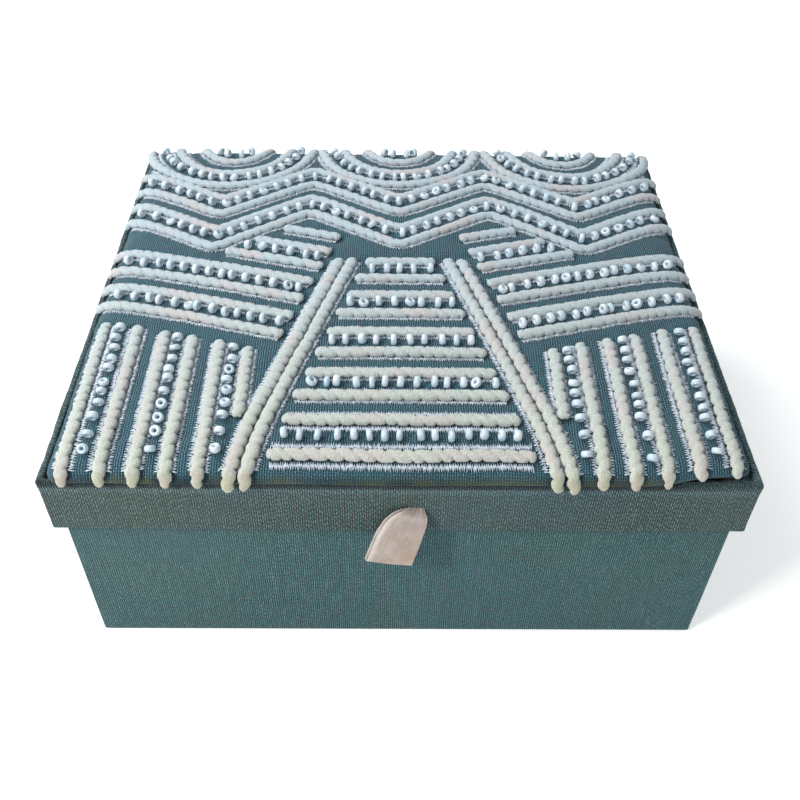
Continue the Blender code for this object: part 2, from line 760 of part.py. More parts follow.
def thinned(points, tolerance):
    """Fewer points, none of those left out further than tolerance from the line that stays."""
    first, last = points[0], points[-1]
    span = last - first
    if len(points) < 3:
        return points
    def stray(point):
        share = max(0, min(1, (point - first).dot(span) / max(span.length_squared, ROW_STEP ** 2)))
        return (point - first - span * share).length
    worst = max(range(1, len(points) - 1), key=lambda index: stray(points[index]))
    if stray(points[worst]) <= tolerance:
        return [first, last]
    return thinned(points[:worst + 1], tolerance)[:-1] + thinned(points[worst:], tolerance)


def add_cord(name, route, finish, hinge, mirrored=False):
    """A cord laid on the canvas along a route in plan, as a six-sided tube."""
    side = -1 if mirrored else 1
    laid = [on_canvas(side * x, y, CORD_RADIUS + CORD_GAP) for x, y in route]
    points = thinned(laid, CORD_CAGE_TOLERANCE)
    curve = bpy.data.curves.new(name, "CURVE")
    curve.dimensions = "3D"
    curve.bevel_depth = CORD_RADIUS
    curve.bevel_resolution = 1
    curve.use_fill_caps = True
    spline = curve.splines.new("POLY")
    spline.points.add(len(points) - 1)
    for place, point in zip(spline.points, points):
        place.co = (*point, 1)
    add_object(name, curve, finish, parent=hinge)


def field_rows(inside, direction):
    """Straight rows that fill a field from its low side on, as many as fit at the row pitch."""
    across = Vector((-math.sin(direction), math.cos(direction)))
    probe = ROW_PITCH / 4
    reach_x, reach_y = math.ceil(PAD_HALF_X / probe), math.ceil(PAD_HALF_Y / probe)
    offsets = [
        across.dot((column * probe, row * probe))
        for column in range(-reach_x, reach_x + 1)
        for row in range(-reach_y, reach_y + 1)
        if inside(column * probe, row * probe)
    ]
    first, last = min(offsets) + probe, max(offsets) + probe / 2
    count = math.floor((last - first) / ROW_PITCH) + 1
    rows = [
        clipped(straight_row(direction, (0, 0), first + index * ROW_PITCH), inside)
        for index in range(count)
    ]
    return laid_in_rows(rows)


def add_embroidery_cords(finish, hinge):
    add_cord("couched_cord_middle", field_rows(in_middle_field, 0), finish, hinge)

    lower = field_rows(in_lower_side_field, math.pi / 2)
    upper = field_rows(in_upper_side_field, direction_of(*split_line()))
    for side, mirrored in (("right", False), ("left", True)):
        add_cord(f"couched_cord_lower_{side}", lower, finish, hinge, mirrored)
        add_cord(f"couched_cord_upper_{side}", upper, finish, hinge, mirrored)

    foot, head = spine_line()
    for place, offset in (("outer", -SPINE_PITCH / 2), ("inner", SPINE_PITCH / 2)):
        spine = clipped(
            straight_row(direction_of(foot, head), foot, offset),
            lambda x, y: on_pad(x, y) and y < head[1] + CORD_RADIUS,
        )
        for side, mirrored in (("right", False), ("left", True)):
            add_cord(f"spine_cord_{place}_{side}", spine, finish, hinge, mirrored)

    zigzag = [clipped(zigzag_row(row * ROW_PITCH * wave_steepness()), on_pad) for row in range(WAVE_ROWS)]
    add_cord("zigzag_cord", laid_in_rows(zigzag), finish, hinge)

    for index in range(WAVE_COUNT):
        centre = ((index - (WAVE_COUNT - 1) / 2) * wave_period(), PAD_HALF_Y)
        rings = [
            clipped(ring_row(centre, scallop_radius() - ring * ROW_PITCH), on_pad)
            for ring in range(SCALLOP_RINGS)
        ]
        add_cord(f"scallop_cord_{index + 1}", laid_in_rows(rings), finish, hinge)


def main():
    clear_scene()
    finish = finishes()
    hinge = add_axis("lid_hinge", (0, HINGE_Y, HINGE_Z))
    pull = add_axis("ribbon_lift", (RIBBON_X, RIBBON_AXIS_Y, RIBBON_AXIS_Z), hinge)
    add_body(finish)
    add_lid(finish, hinge)
    add_hinge_leaves(finish["slub_cloth"], hinge)
    add_pad(finish, hinge)
    add_embroidery_cords(finish["cord_cotton"], hinge)
    add_ribbon_tab(finish["ribbon_cotton"], pull)


main()
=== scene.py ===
"""Looks of the fabric box: its cloths, quilted panel, couched yarn, beads, stitches and ribbon.

Metres, +X right, +Y to the hinged back, +Z up. The embroidery's layout repeats the one of the solids.
"""

import json
import math
from functools import partial

import bpy
import numpy as np
from mathutils import Matrix, Vector
from mathutils.bvhtree import BVHTree
from mathutils.kdtree import KDTree

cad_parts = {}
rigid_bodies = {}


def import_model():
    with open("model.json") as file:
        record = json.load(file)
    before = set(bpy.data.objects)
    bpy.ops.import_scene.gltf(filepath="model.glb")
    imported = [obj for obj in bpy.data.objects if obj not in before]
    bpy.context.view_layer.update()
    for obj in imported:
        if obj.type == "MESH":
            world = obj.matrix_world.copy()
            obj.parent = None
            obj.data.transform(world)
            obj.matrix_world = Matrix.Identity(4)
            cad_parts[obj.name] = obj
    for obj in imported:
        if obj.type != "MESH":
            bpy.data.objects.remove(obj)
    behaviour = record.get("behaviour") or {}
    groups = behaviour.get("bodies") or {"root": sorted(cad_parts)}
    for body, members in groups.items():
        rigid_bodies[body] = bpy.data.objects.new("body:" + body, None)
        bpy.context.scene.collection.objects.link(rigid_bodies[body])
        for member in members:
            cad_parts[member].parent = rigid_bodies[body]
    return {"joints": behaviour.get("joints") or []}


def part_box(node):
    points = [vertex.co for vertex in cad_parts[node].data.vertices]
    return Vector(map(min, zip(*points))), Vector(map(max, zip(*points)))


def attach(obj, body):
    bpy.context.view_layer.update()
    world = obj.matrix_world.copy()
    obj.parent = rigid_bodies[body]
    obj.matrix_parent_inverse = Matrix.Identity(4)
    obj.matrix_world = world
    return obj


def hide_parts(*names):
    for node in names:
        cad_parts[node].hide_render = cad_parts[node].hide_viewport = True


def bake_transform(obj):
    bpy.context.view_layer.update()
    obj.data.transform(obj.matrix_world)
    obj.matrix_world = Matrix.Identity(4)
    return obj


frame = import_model()
bpy.context.view_layer.update()

# Camera, as fitted to the box's corners in the photograph
CAMERA_PLACE = (-0.0050, -0.3236, 0.3502)
CAMERA_TILT, CAMERA_TURN, CAMERA_ROLL = map(math.radians, (45.51, -1.06, 1.13))
CAMERA_FOCAL_PIXELS = 940.1
PHOTO_PIXELS = 800
SENSOR_MM = 36

# Sizes that the frame gives
GLUE_GAP = 0.00025
CANVAS = 0.0006
CLOTH = 0.0004
LID_HALF_X, LID_HALF_Y, RIM_TOP_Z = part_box("rim_cloth")[1]
RIM_BOTTOM_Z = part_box("rim_cloth")[0][2]
RIM_WALL = LID_HALF_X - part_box("lid_board")[1][0] - GLUE_GAP
LID_BOARD_TOP_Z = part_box("lid_board")[1][2]
LID_LINING_UNDERSIDE_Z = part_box("lid_lining")[0][2]
BODY_HALF_X, BODY_HALF_Y, BODY_TOP_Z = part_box("body_cloth")[1]
BODY_UNDERSIDE_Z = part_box("body_cloth")[0][2]
BODY_WALL = BODY_HALF_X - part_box("wall_lining_right")[1][0] - GLUE_GAP
PAD_HALF_X, PAD_HALF_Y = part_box("embroidered_panel")[1][:2]
PAD_UNDERSIDE_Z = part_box("embroidered_panel")[0][2]
FOAM_UNDERSIDE_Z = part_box("pad_foam")[0][2]
PAD_EDGE_Z = FOAM_UNDERSIDE_Z + GLUE_GAP + CANVAS
PIVOTS = {joint["name"]: Vector(joint["pos_m"]) for joint in frame["joints"]}
RIBBON_PIVOT, HINGE_PIVOT = PIVOTS["ribbon_lift"], PIVOTS["lid_hinge"]

# The pad and the layout of its embroidery, as in the solids. Shares are of the pad's half sizes
PAD_EDGE_ROLL = 0.012
PAD_EDGE_RISE = 0.006
PAD_CROWN = 0.005
PAD_TUCK = 0.0010
CORD_RADIUS = 0.00235
ROW_PITCH = 0.0112
ROW_STEP = 0.001
ROW_EDGE_MARGIN = 0.0024
SPINE_PITCH = 0.0054
SPINE_CLEARANCE = SPINE_PITCH / 2 + CORD_RADIUS
BORDER_CLEARANCE = 0.0047
SPINE = [(x * PAD_HALF_X, y * PAD_HALF_Y) for x, y in ((0.47, -1.0), (0.19, 0.03))]
SPLIT = [(x * PAD_HALF_X, y * PAD_HALF_Y) for x, y in ((0.33, -0.50), (1.0, -0.26))]
WAVE_SHARPNESS_SHARE = 0.985
WAVE_COUNT = 3
WAVE_ROWS = 4
WAVE_PERIOD = 2 * PAD_HALF_X / WAVE_COUNT
WAVE_SWING_SHARE = 0.15
WAVE_STEEPNESS = math.hypot(1, 4 * WAVE_SWING_SHARE)
SCALLOP_RINGS = 3
SCALLOP_EDGE_GAP = 0.0040
SCALLOP_RADIUS = WAVE_PERIOD / 2 - SCALLOP_EDGE_GAP / 2
WAVE_SCALLOP_PITCH = 0.0117
YARN_CLEARANCE = 0.0022  # rows run on this near to what bounds them, further than the solids' turns

# Quilted canvas
CANVAS_CELL = 0.0022
QUILT_CAP = 0.0010  # the canvas swells this far between its stitched rows at most
SIM_SCALE = 20
SIM_FRAMES = 16
SIM_SETTINGS = {
    "quality": 5, "mass": 0.3, "air_damping": 1.0, "tension_stiffness": 15, "compression_stiffness": 15,
    "shear_stiffness": 5, "bending_stiffness": 0.5, "shrink_min": -0.05, "use_pressure": True,
    "uniform_pressure_force": 3.0,
}
STITCHED_REACH = 0.0030
HEIGHT_STEP = 0.0005
SIDE_INSET = 0.0007  # rows turn down the pad's side this far inside its widest line
ROW_TUCK = 0.0008  # and run down it this far
FRONT_TUCK = 0.0001  # and in front, where they end over the rim

# The soft edge, which spreads over the rim's top further than the solids' plain pad
SPREAD_FADE = 0.024  # from this far inside the edge
SPREAD_FRONT = 0.0080
SPREAD_BACK = 0.0018
SPREAD_SIDE = 0.0029
SPREAD_REAR_CORNERS = 0.0016  # more than that towards the rear corners
SPREAD_RIGHT_LOSS_SHARE = 0.55  # and less in front towards the right corner
SPREAD_REAR_FROM, SPREAD_LOSS_FROM = 0.55, 0.66  # from these shares of the pad's half sizes on
HANG_CLEARANCE = 0.0006  # between the rim's front and what hangs before it
FRONT_LIFT = 0.0009  # the front edge rises this far over the rim's top
DROOP = 0.0020  # and hangs this far down again before the rim's front
DROOP_FROM_Y = LID_HALF_Y - 0.0005
DROOP_RUN = 0.0018

# Yarn, stitches and beads
LOBE_LENGTH = 0.0052
LOBE_SLANT = 0.85
LOBE_FULLNESS = 4.2  # the power of the lobes' outline: larger is fuller, with narrower notches
NOTCH_ON_TOP = 0.21  # depth of the notches between lobes, as shares of the cord's radius
NOTCH_AT_SIDES = 0.46
YARN_STEP = 0.0004
YARN_SIDES = 16
YARN_WANDER, YARN_WANDER_LENGTH = 0.00025, 0.013
YARN_SWELLING, YARN_SWELLING_LENGTH = 0.05, 0.009  # its radius varies by this share
YARN_SINK = 0.0001  # into the canvas
YARN_ROUGHNESS = 0.035
LOBE_SPREAD = (0.72, 1.28)  # lobes are this much shorter or longer
YARN_FLAT = 0.64
YARN_TUCKED_FLAT = 0.50  # flatter still where it is tucked in at the pad's edge
STITCH_STEP = 0.00040
STITCH_INNER = 0.0018
STITCH_OUTER = 0.0039
STITCH_RADIUS = 0.00024
STITCH_EDGE_MARGIN = 0.0032
STITCH_OUTER_LIFT = 0.00008  # above the canvas at a stitch's outer and inner hole
STITCH_INNER_LIFT = 0.00055
STITCH_BULGE = 0.00022  # a stitch rises this far between its two holes
STITCH_OUTER_SPREAD, STITCH_INNER_SPREAD = 0.00028, 0.0002  # its holes lie this far from their line
STITCH_SHIFT = 0.00018  # and this far along it
STITCH_LIFT_SPREAD = 0.00012
STITCH_ENDS = 3  # steps that have no stitches at each end of a row
BEAD_SPACING = 0.0056
BEAD_SPACING_SPREAD, BEAD_SHIFT = 0.0009, 0.0003
BEAD_RADIUS = 0.00205
BEAD_LENGTH = 0.0023
BEAD_WIDENING = 0.09  # share by which beads of rows across the lid are wider
BEAD_RADIUS_SPREAD, BEAD_LENGTH_SPREAD = (0.95, 1.04), (0.88, 1.16)
BEAD_ROUNDNESS = 0.86
BEAD_LEAN = 0.42  # radians that beads of a row running back lean away from the front
BEAD_SWING = 0.16  # radians that any bead is turned or tipped at random
BEAD_TIP = (0.9, 1.35)  # and those that stand on end
BEAD_SEAT = 0.94  # share of its height that a bead's centre lies over the canvas
BEAD_HOLE = 0.00062
BEAD_SIDES = 16
BEAD_ROUNDS = 10
BEAD_EDGE_MARGIN = 0.0042
TIPPED_SHARE = 0.14  # of the beads stand on end

# Cloth round the boards
CLOTH_CELL = 0.0018
CORNER_RADIUS = 0.0011
CORNER_STEPS = 5
LEAST_RADIUS = 0.00025
HINGE_COLUMNS, HINGE_ROWS = 130, 41

# Ribbon, as in the solids
RIBBON_WIDTH = 0.015
RIBBON_LENGTH = 0.026
RIBBON_SHEET = 0.0003
RIBBON_FOLDED = 0.0016
RIBBON_SLANT = math.radians(23)
RIBBON_LIFT_FROM_FACE = math.radians(14)
RIBBON_TOP_RISE = 0.0008
# Edges of the hanging ribbon by share of its length, as shares of its width
RIBBON_FRONT_LEFT = (
    (0.0, -0.10), (0.03, -0.24), (0.09, -0.37), (0.17, -0.48), (0.30, -0.565), (0.50, -0.60), (1.0, -0.565)
)
RIBBON_BACK_LEFT = (
    (0.0, -0.10), (0.03, -0.26), (0.09, -0.40), (0.17, -0.52), (0.30, -0.62), (0.50, -0.66), (1.0, -0.615)
)
RIBBON_RIGHT = ((0.0, 0.16), (0.03, 0.24), (0.09, 0.335), (0.20, 0.395), (0.55, 0.47), (1.0, 0.55))
RIBBON_FOOT = ((0.0, 1.045), (0.5, 1.0), (1.0, 0.93))  # how far down the fold lies, across the ribbon
RIBBON_ACROSS = 33
RIBBON_TURN_SHARE = 0.985  # the fold starts here
RIBBON_NECK_WIDTH = 0.0050
RIBBON_NECK_DEPTH = 0.0005  # the ply ends lie this far inside the rim's cloth

# Light
WORLD_COLOUR = (0.92, 0.985, 1, 1)
WORLD_STRENGTH = 0.46
FLOOR_GLOW = 0.46
FLOOR_REACH = 6.0
KEY_POWER = 12.6
FILL_POWER = 4.7
FILL_COLOUR = (1.0, 0.97, 0.93)


# Numbers


def wobble(distance, wavelength, seed):
    """A smooth random line between -1 and 1."""
    count, start = 509, 97
    knots = np.random.default_rng(seed).uniform(-1, 1, count)
    place = np.asarray(distance, float) / wavelength + start
    index = np.floor(place).astype(int)
    blend = smooth(place - index, 0, 1)
    return knots[index % count] * (1 - blend) + knots[(index + 1) % count] * blend


def smooth(value, low, high):
    """0 up to low, 1 from high on, and a soft step between them."""
    share = np.clip((np.asarray(value, float) - low) / (high - low), 0, 1)
    return share * share * (3 - 2 * share)


def unit(vectors):
    return vectors / np.maximum(np.linalg.norm(vectors, axis=-1, keepdims=True), 1e-12)


def lengths_along(points):
    steps = np.linalg.norm(np.diff(points, axis=0), axis=1)
    return np.concatenate([[0], np.cumsum(steps)])


def at(places, along, line):
    """Points of a line at places, where along has the line's own distances."""
    return np.column_stack([np.interp(places, along, column) for column in line.T])


def resampled(line, step):
    """The same line with evenly spaced points, and their distances along it."""
    along = lengths_along(line)
    places = np.linspace(0, along[-1], max(2, round(along[-1] / step) + 1))
    return at(places, along, line), places


def grid(u, v):
    """Pairs of u and v, in one row for each v."""
    return np.stack(np.meshgrid(u, v), axis=-1)


# Meshes


class Shape:
    """Collects faces of one piece, with a pattern coordinate for each corner of a face."""

    def __init__(self):
        self.places, self.corners, self.sizes, self.patterns, self.count = [], [], [], [], 0

    def add_faces(self, faces, pattern=None):
        faces = np.asarray(faces, int)
        pattern = np.zeros((*faces.shape, 2)) if pattern is None else pattern
        self.corners.append(faces.ravel())
        self.sizes.append(np.full(len(faces), faces.shape[1]))
        self.patterns.append(pattern.reshape(-1, 2))

    def add_places(self, places):
        start = self.count
        self.places.append(np.asarray(places, float))
        self.count += len(places)
        return start

    def add_sheet(self, places, pattern=None, closed_across=False):
        """A grid of places, rows by columns, and their pattern coordinates."""
        rows, columns = places.shape[:2]
        pattern = np.zeros((rows, columns, 2)) if pattern is None else pattern
        start = self.add_places(places.reshape(-1, 3))
        index = start + np.arange(rows * columns).reshape(rows, columns)
        here = np.arange(columns if closed_across else columns - 1)
        there = (here + 1) % columns

        def corners(field, there):
            low, high = field[:-1], field[1:]
            return np.stack([low[:, here], low[:, there], high[:, there], high[:, here]], axis=2)

        drawn = corners(pattern, there if pattern.shape[1] == columns else here + 1)
        self.add_faces(corners(index, there).reshape(-1, 4), drawn.reshape(-1, 4, 2))
        return index

    def add_band(self, ring, foot, drawn=None, foot_drawn=None):
        """Faces from a closed ring down to new places, which are returned as the next ring."""

        def corners(above, below):
            return np.stack([above, below, np.roll(below, -1, axis=0), np.roll(above, -1, axis=0)], axis=1)

        low = self.add_places(foot) + np.arange(len(foot))
        self.add_faces(corners(ring, low), None if drawn is None else corners(drawn, foot_drawn))
        return low

    def add_tube(self, rings, along, radius):
        """Rings of places with their distances along the tube, closed at both ends."""
        around = np.linspace(0, 2 * math.pi * radius, rings.shape[1] + 1)
        index = self.add_sheet(rings, grid(around, along)[..., ::-1], closed_across=True)
        self.add_faces(index[0][::-1][None, :])
        self.add_faces(index[-1][None, :])

    def build(self, name, finish):
        mesh = bpy.data.meshes.new(name)
        places, corners = np.concatenate(self.places), np.concatenate(self.corners)
        sizes = np.concatenate(self.sizes)
        mesh.vertices.add(len(places))
        mesh.vertices.foreach_set("co", places.astype(np.float32).ravel())
        mesh.loops.add(len(corners))
        mesh.loops.foreach_set("vertex_index", corners.astype(np.int32))
        mesh.polygons.add(len(sizes))
        mesh.polygons.foreach_set("loop_start", (np.cumsum(sizes) - sizes).astype(np.int32))
        mesh.polygons.foreach_set("use_smooth", np.ones(len(sizes), bool))
        layer = mesh.uv_layers.new(name="pattern")
        layer.data.foreach_set("uv", np.concatenate(self.patterns).astype(np.float32).ravel())
        mesh.update(calc_edges=True)
        mesh.validate()
        mesh.materials.append(finish)
        return linked(name, mesh)


def sheet_of(places, pattern, name, finish, closed_across=False):
    shape = Shape()
    shape.add_sheet(places, pattern, closed_across)
    return shape.build(name, finish)


def linked(name, data):
    made = bpy.data.objects.new(name, data)
    bpy.context.scene.collection.objects.link(made)
    return made


def read(items, name, width, kind=np.float32):
    """One property of all items of a mesh, in rows of this width."""
    values = np.empty(width * len(items), kind)
    items.foreach_get(name, values)
    return values.reshape(-1, width)


def smoothed(piece):
    smoothing = piece.modifiers.new("smoothing", "SUBSURF")
    smoothing.levels = smoothing.render_levels = 1


def thicken(piece, amount, offset):
    thickness = piece.modifiers.new("thickness", "SOLIDIFY")
    thickness.thickness, thickness.offset = amount, offset


def on_body(body, piece, slot, *nodes):
    """A piece that moves with this body and stands for these nodes."""
    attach(piece, body)
    if nodes:
        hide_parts(*nodes)


def rings_round(centres, normals, radii, flat=1.0):
    """Rings of places round a line, the first place of each underneath. radii is rows by sides.

    flat squeezes a ring towards the surface that it lies on, one number or one for each ring.
    """
    along = unit(np.gradient(centres, axis=0))
    across = unit(np.cross(along, normals))
    off = np.cross(across, along)
    turn = np.linspace(0, 2 * math.pi, radii.shape[1], endpoint=False)[:, None] + math.pi
    up = np.cos(turn) * off[:, None] * np.reshape(flat, (-1, 1, 1))
    return centres[:, None] + (up + np.sin(turn) * across[:, None]) * radii[..., None]


# Materials


def rgb(red, green, blue):
    """A colour given as it shows on a screen, from 0 to 255."""
    linear = (
        level / 12.92 if level <= 0.04045 else ((level + 0.055) / 1.055) ** 2.4
        for level in (red / 255, green / 255, blue / 255)
    )
    return (*linear, 1.0)


class Finish:
    """Short calls that build one material out of nodes. Colours are given as for rgb.

    colour is what the material has so far.
    """

    def __init__(self, name, roughness, sheen=0.0, specular=0.5, coat=0.0):
        self.material = bpy.data.materials.new(name)
        self.material.use_nodes = True
        self.tree = self.material.node_tree
        self.shader = self.tree.nodes["Principled BSDF"]
        for socket, value in {
            "Roughness": roughness, "Sheen Weight": sheen, "Specular IOR Level": specular, "Coat Weight": coat
        }.items():
            self.shader.inputs[socket].default_value = value

    def node(self, kind, inputs=(), **settings):
        made = self.tree.nodes.new(kind)
        for name, value in settings.items():
            setattr(made, name, value)
        for name, value in dict(inputs).items():
            self.feed(made.inputs[name], value)
        return made

    def feed(self, socket, value):
        if isinstance(value, bpy.types.NodeSocket):
            self.tree.links.new(value, socket)
        else:
            socket.default_value = value

    def math(self, operation, *values):
        return self.node("ShaderNodeMath", enumerate(values), operation=operation).outputs[0]

    def times(self, value, factor, plus=None):
        if plus is None:
            return self.math("MULTIPLY", value, factor)
        return self.math("MULTIPLY_ADD", value, factor, plus)

    def split(self, vector):
        return self.node("ShaderNodeSeparateXYZ", {0: vector}).outputs[:3]

    def pattern(self):
        """The piece's own pattern coordinates, in metres."""
        return self.split(self.node("ShaderNodeTexCoord").outputs["UV"])[:2]

    def place(self):
        """Where the surface is at rest, in metres."""
        return self.node("ShaderNodeTexCoord").outputs["Object"]

    def noise(self, vector, scale, detail, roughness):
        inputs = {"Vector": vector, "Scale": scale, "Detail": detail, "Roughness": roughness}
        return self.node("ShaderNodeTexNoise", inputs).outputs["Fac"]

    def cloud(self, scale, detail=2.0, roughness=0.5):
        """Noise in space, in patches that are smaller the larger scale is."""
        return self.noise(self.place(), scale, detail, roughness)

    def streaks(self, x, y, squeeze_x, squeeze_y, scale, detail=2.0, roughness=0.5):
        """Noise in the plane of x and y, drawn out where its squeeze is small."""
        inputs = {0: self.times(x, squeeze_x), 1: self.times(y, squeeze_y)}
        return self.noise(self.node("ShaderNodeCombineXYZ", inputs).outputs[0], scale, detail, roughness)

    def between(self, value, low, high, to_low=0.0, to_high=1.0):
        inputs = enumerate((value, low, high, to_low, to_high))
        return self.node("ShaderNodeMapRange", inputs).outputs[0]

    def mix(self, share, low, high):
        low, high = (rgb(*value) if isinstance(value, tuple) else value for value in (low, high))
        return self.node("ShaderNodeMix", {0: share, 6: low, 7: high}, data_type="RGBA").outputs[2]

    def shade(self, value, low, high, dark, light):
        """A colour that goes from dark to light as value goes from low to high."""
        return self.mix(self.between(value, low, high), dark, light)

    def paint(self, share, colour):
        """Cover a share of the colour so far with another."""
        self.colour = self.mix(share, self.colour, colour)

    def tint(self, value, low, high, share, colour):
        """The same, none of it where value is under low, and the full share where it is over high."""
        self.paint(self.between(value, low, high, 0.0, share), colour)

    def weave(self, across, along, pitch, warp_share, looseness, stagger=0.0, weft_level=1.0):
        """Heights of a plain weave: threads run along and across and pass over each other in turn.

        pitch is how far apart the threads lie, across and along. stagger shifts the crossings along each
        thread by up to so many rows, so that they form no lines. weft_level is the weft's height where it
        lies on top, which is 1 for the warp. Also returned are the numbers of threads and rows.
        """
        drift = self.times(self.streaks(across, along, 1.0, 1.0, 260.0, 3.0), looseness * 2, -looseness)
        thread = self.math("ADD", self.math("DIVIDE", across, pitch[0]), drift)
        row = self.math("ADD", self.math("DIVIDE", along, pitch[1]), drift)
        if stagger:
            row = self.times(self.streaks(thread, row, 1.0, 0.12, 0.9), stagger * 2, row)
        half_thread, half_row = (self.math("COSINE", self.times(way, math.pi)) for way in (thread, row))
        over = self.times(half_thread, half_row)
        weft_share = (1 - warp_share) * weft_level
        warp, weft = self.times(half_thread, half_thread), self.times(half_row, half_row)
        warp = self.times(warp, self.times(over, 1 - warp_share, warp_share))
        weft = self.times(weft, self.times(over, -weft_share, weft_share))
        return self.math("MAXIMUM", warp, weft), thread, row

    def finish(self, height=None, distance=0.0002, strength=1.0):
        self.feed(self.shader.inputs["Base Color"], self.colour)
        if height is not None:
            bump = self.node("ShaderNodeBump", {"Height": height, "Distance": distance, "Strength": strength})
            self.feed(self.shader.inputs["Normal"], bump.outputs[0])
        return self.material


def canvas_finish():
    """Coarse slate canvas, with olive patches and painted shade along its front edge."""
    made = Finish("slate_canvas", 0.85, sheen=0.12, specular=0.25)
    height, thread, row = made.weave(*made.pattern(), (0.00092, 0.00094), 0.56, 0.46, 1.0, 0.75)
    fleck = made.streaks(thread, row, 1.0, 0.7, 1.2)
    made.colour = made.shade(height, 0.20, 0.74, (0, 10, 22), (106, 152, 168))
    made.tint(fleck, 0.44, 0.62, 0.50, (34, 82, 104))
    made.tint(made.cloud(38.0), 0.40, 0.66, 0.32, (48, 98, 106))
    # Dark patches along the front edge are painted shade where the soft lip hangs over the rim; olive patches
    # lie among them.
    edge_tint = made.shade(made.cloud(55.0, 1.0), 0.42, 0.60, (10, 22, 24), (72, 72, 30))
    y = made.split(made.place())[1]
    made.paint(made.between(y, -0.0016 - LID_HALF_Y, 0.0008 - LID_HALF_Y, 0.90, 0.0), edge_tint)
    return made.finish(height, 0.00045, 0.9)


def slub_finish(name, low, light, over_all):
    """Ribbed cloth: upright warp ribs with a finer weft that dots them, in slightly uneven colour.

    Threads are darkest below the height low and rise to the colour light. over_all lies thinly on it.
    """
    made = Finish(name, 0.88, sheen=0.10, specular=0.22)
    height, thread, row = made.weave(*made.pattern(), (0.00086, 0.00120), 0.60, 0.44, 3.0, 0.45)
    rib = made.streaks(thread, row, 1.0, 0.05, 1.1, 2.0, 0.6)
    grain = made.streaks(thread, row, 1.6, 0.8, 1.0, 2.0, 0.6)
    slub = made.streaks(thread, row, 0.7, 0.16, 0.8, 1.0)
    made.colour = made.shade(height, low, 0.62, (0, 6, 12), light)
    made.tint(rib, 0.40, 0.58, 0.26, (42, 78, 83))
    made.tint(grain, 0.47, 0.64, 0.50, (12, 42, 48))
    made.tint(slub, 0.60, 0.78, 0.30, (122, 150, 150))
    made.tint(made.cloud(15.0, 3.0), 0.38, 0.66, 0.22, (90, 108, 96))
    made.tint(made.cloud(21.0, 2.0, 0.4), 0.48, 0.72, 0.26, (62, 98, 126))
    made.paint(0.14, over_all)
    # The rim's fold is painted brighter, as a painted highlight where it faces the light from above, and
    # painted dark above that, as painted shadow where the pad's edge keeps the light off in front
    x, y, z = made.split(made.place())
    fold = made.between(z, RIM_TOP_Z - 0.0062, RIM_TOP_Z - 0.0036, 0.0, 0.60)
    made.paint(made.times(fold, made.between(height, 0.22, 0.60)), (128, 170, 184))
    # Painted shadow under the pad's overhanging front edge, weaker towards the right corner.
    painted_lip_shadow = made.between(z, RIM_TOP_Z - 0.0032, RIM_TOP_Z - 0.0018, 0.0, 0.8)
    painted_lip_shadow = made.times(painted_lip_shadow, made.between(y, -LID_HALF_Y, 0.003 - LID_HALF_Y, 1.0, 0.0))
    made.paint(made.times(painted_lip_shadow, made.between(x, 0.7 * LID_HALF_X, LID_HALF_X, 1.0, 0.4)), (12, 24, 26))
    return made.finish(made.times(rib, 0.5, made.times(grain, 0.35, height)), 0.00055, 1.0)


def yarn_finish():
    """Soft off-white yarn: warmer in front, tan and olive at the tips there, and painted shade underneath."""
    made = Finish("yarn", 0.95, sheen=0.30, specular=0.12)
    along, around = made.pattern()
    strands = made.streaks(made.times(around, 0.9, along), around, 5.0, 1.0, 620.0, 3.0, 0.6)
    fuzz = made.cloud(2200.0, 3.0, 0.6)
    y = made.split(made.place())[1]
    made.colour = made.shade(y, -PAD_HALF_Y, 0.1 * PAD_HALF_Y, (214, 218, 206), (200, 216, 226))
    made.tint(made.cloud(60.0), 0.50, 0.66, 0.6, (220, 206, 206))
    for value, low, high, share, dark in (
        (strands, 0.30, 0.60, 0.5, (110, 130, 134)),
        (fuzz, 0.28, 0.50, 0.25, (120, 136, 138)),
    ):
        made.colour = made.shade(value, low, high, made.mix(share, made.colour, dark), made.colour)
    # Tan and olive towards the ends of the rows in front.
    uneven = made.times(made.cloud(380.0), 0.0060, y)
    edge_tint = made.shade(made.cloud(190.0, 1.0), 0.4, 0.6, (178, 148, 120), (164, 162, 84))
    tip = made.between(uneven, 0.0006 - LID_HALF_Y, 0.0030 - LID_HALF_Y, 0.62, 1.0)
    made.colour = made.mix(tip, edge_tint, made.colour)
    # Painted shade along the yarn's lower sides, where it meets the canvas.
    round_share = made.math("DIVIDE", around, 2 * math.pi * CORD_RADIUS)
    from_top = made.math("ABSOLUTE", made.math("SUBTRACT", round_share, 0.5))
    made.tint(from_top, 0.255, 0.35, 0.92, (20, 40, 48))
    return made.finish(made.times(fuzz, 0.8, strands), 0.00045, 1.0)


def stitch_finish():
    made = Finish("stitch_thread", 0.75, sheen=0.2, specular=0.3)
    patch = made.cloud(1100.0)
    made.colour = made.shade(patch, 0.32, 0.60, (150, 166, 184), (212, 222, 232))
    return made.finish(patch, 0.0001, 0.5)


def bead_finish():
    made = Finish("bead_glass", 0.34, specular=0.45, coat=0.15)
    made.colour = made.shade(made.cloud(240.0, 1.0), 0.35, 0.65, (184, 204, 218), (216, 225, 233))
    return made.finish()


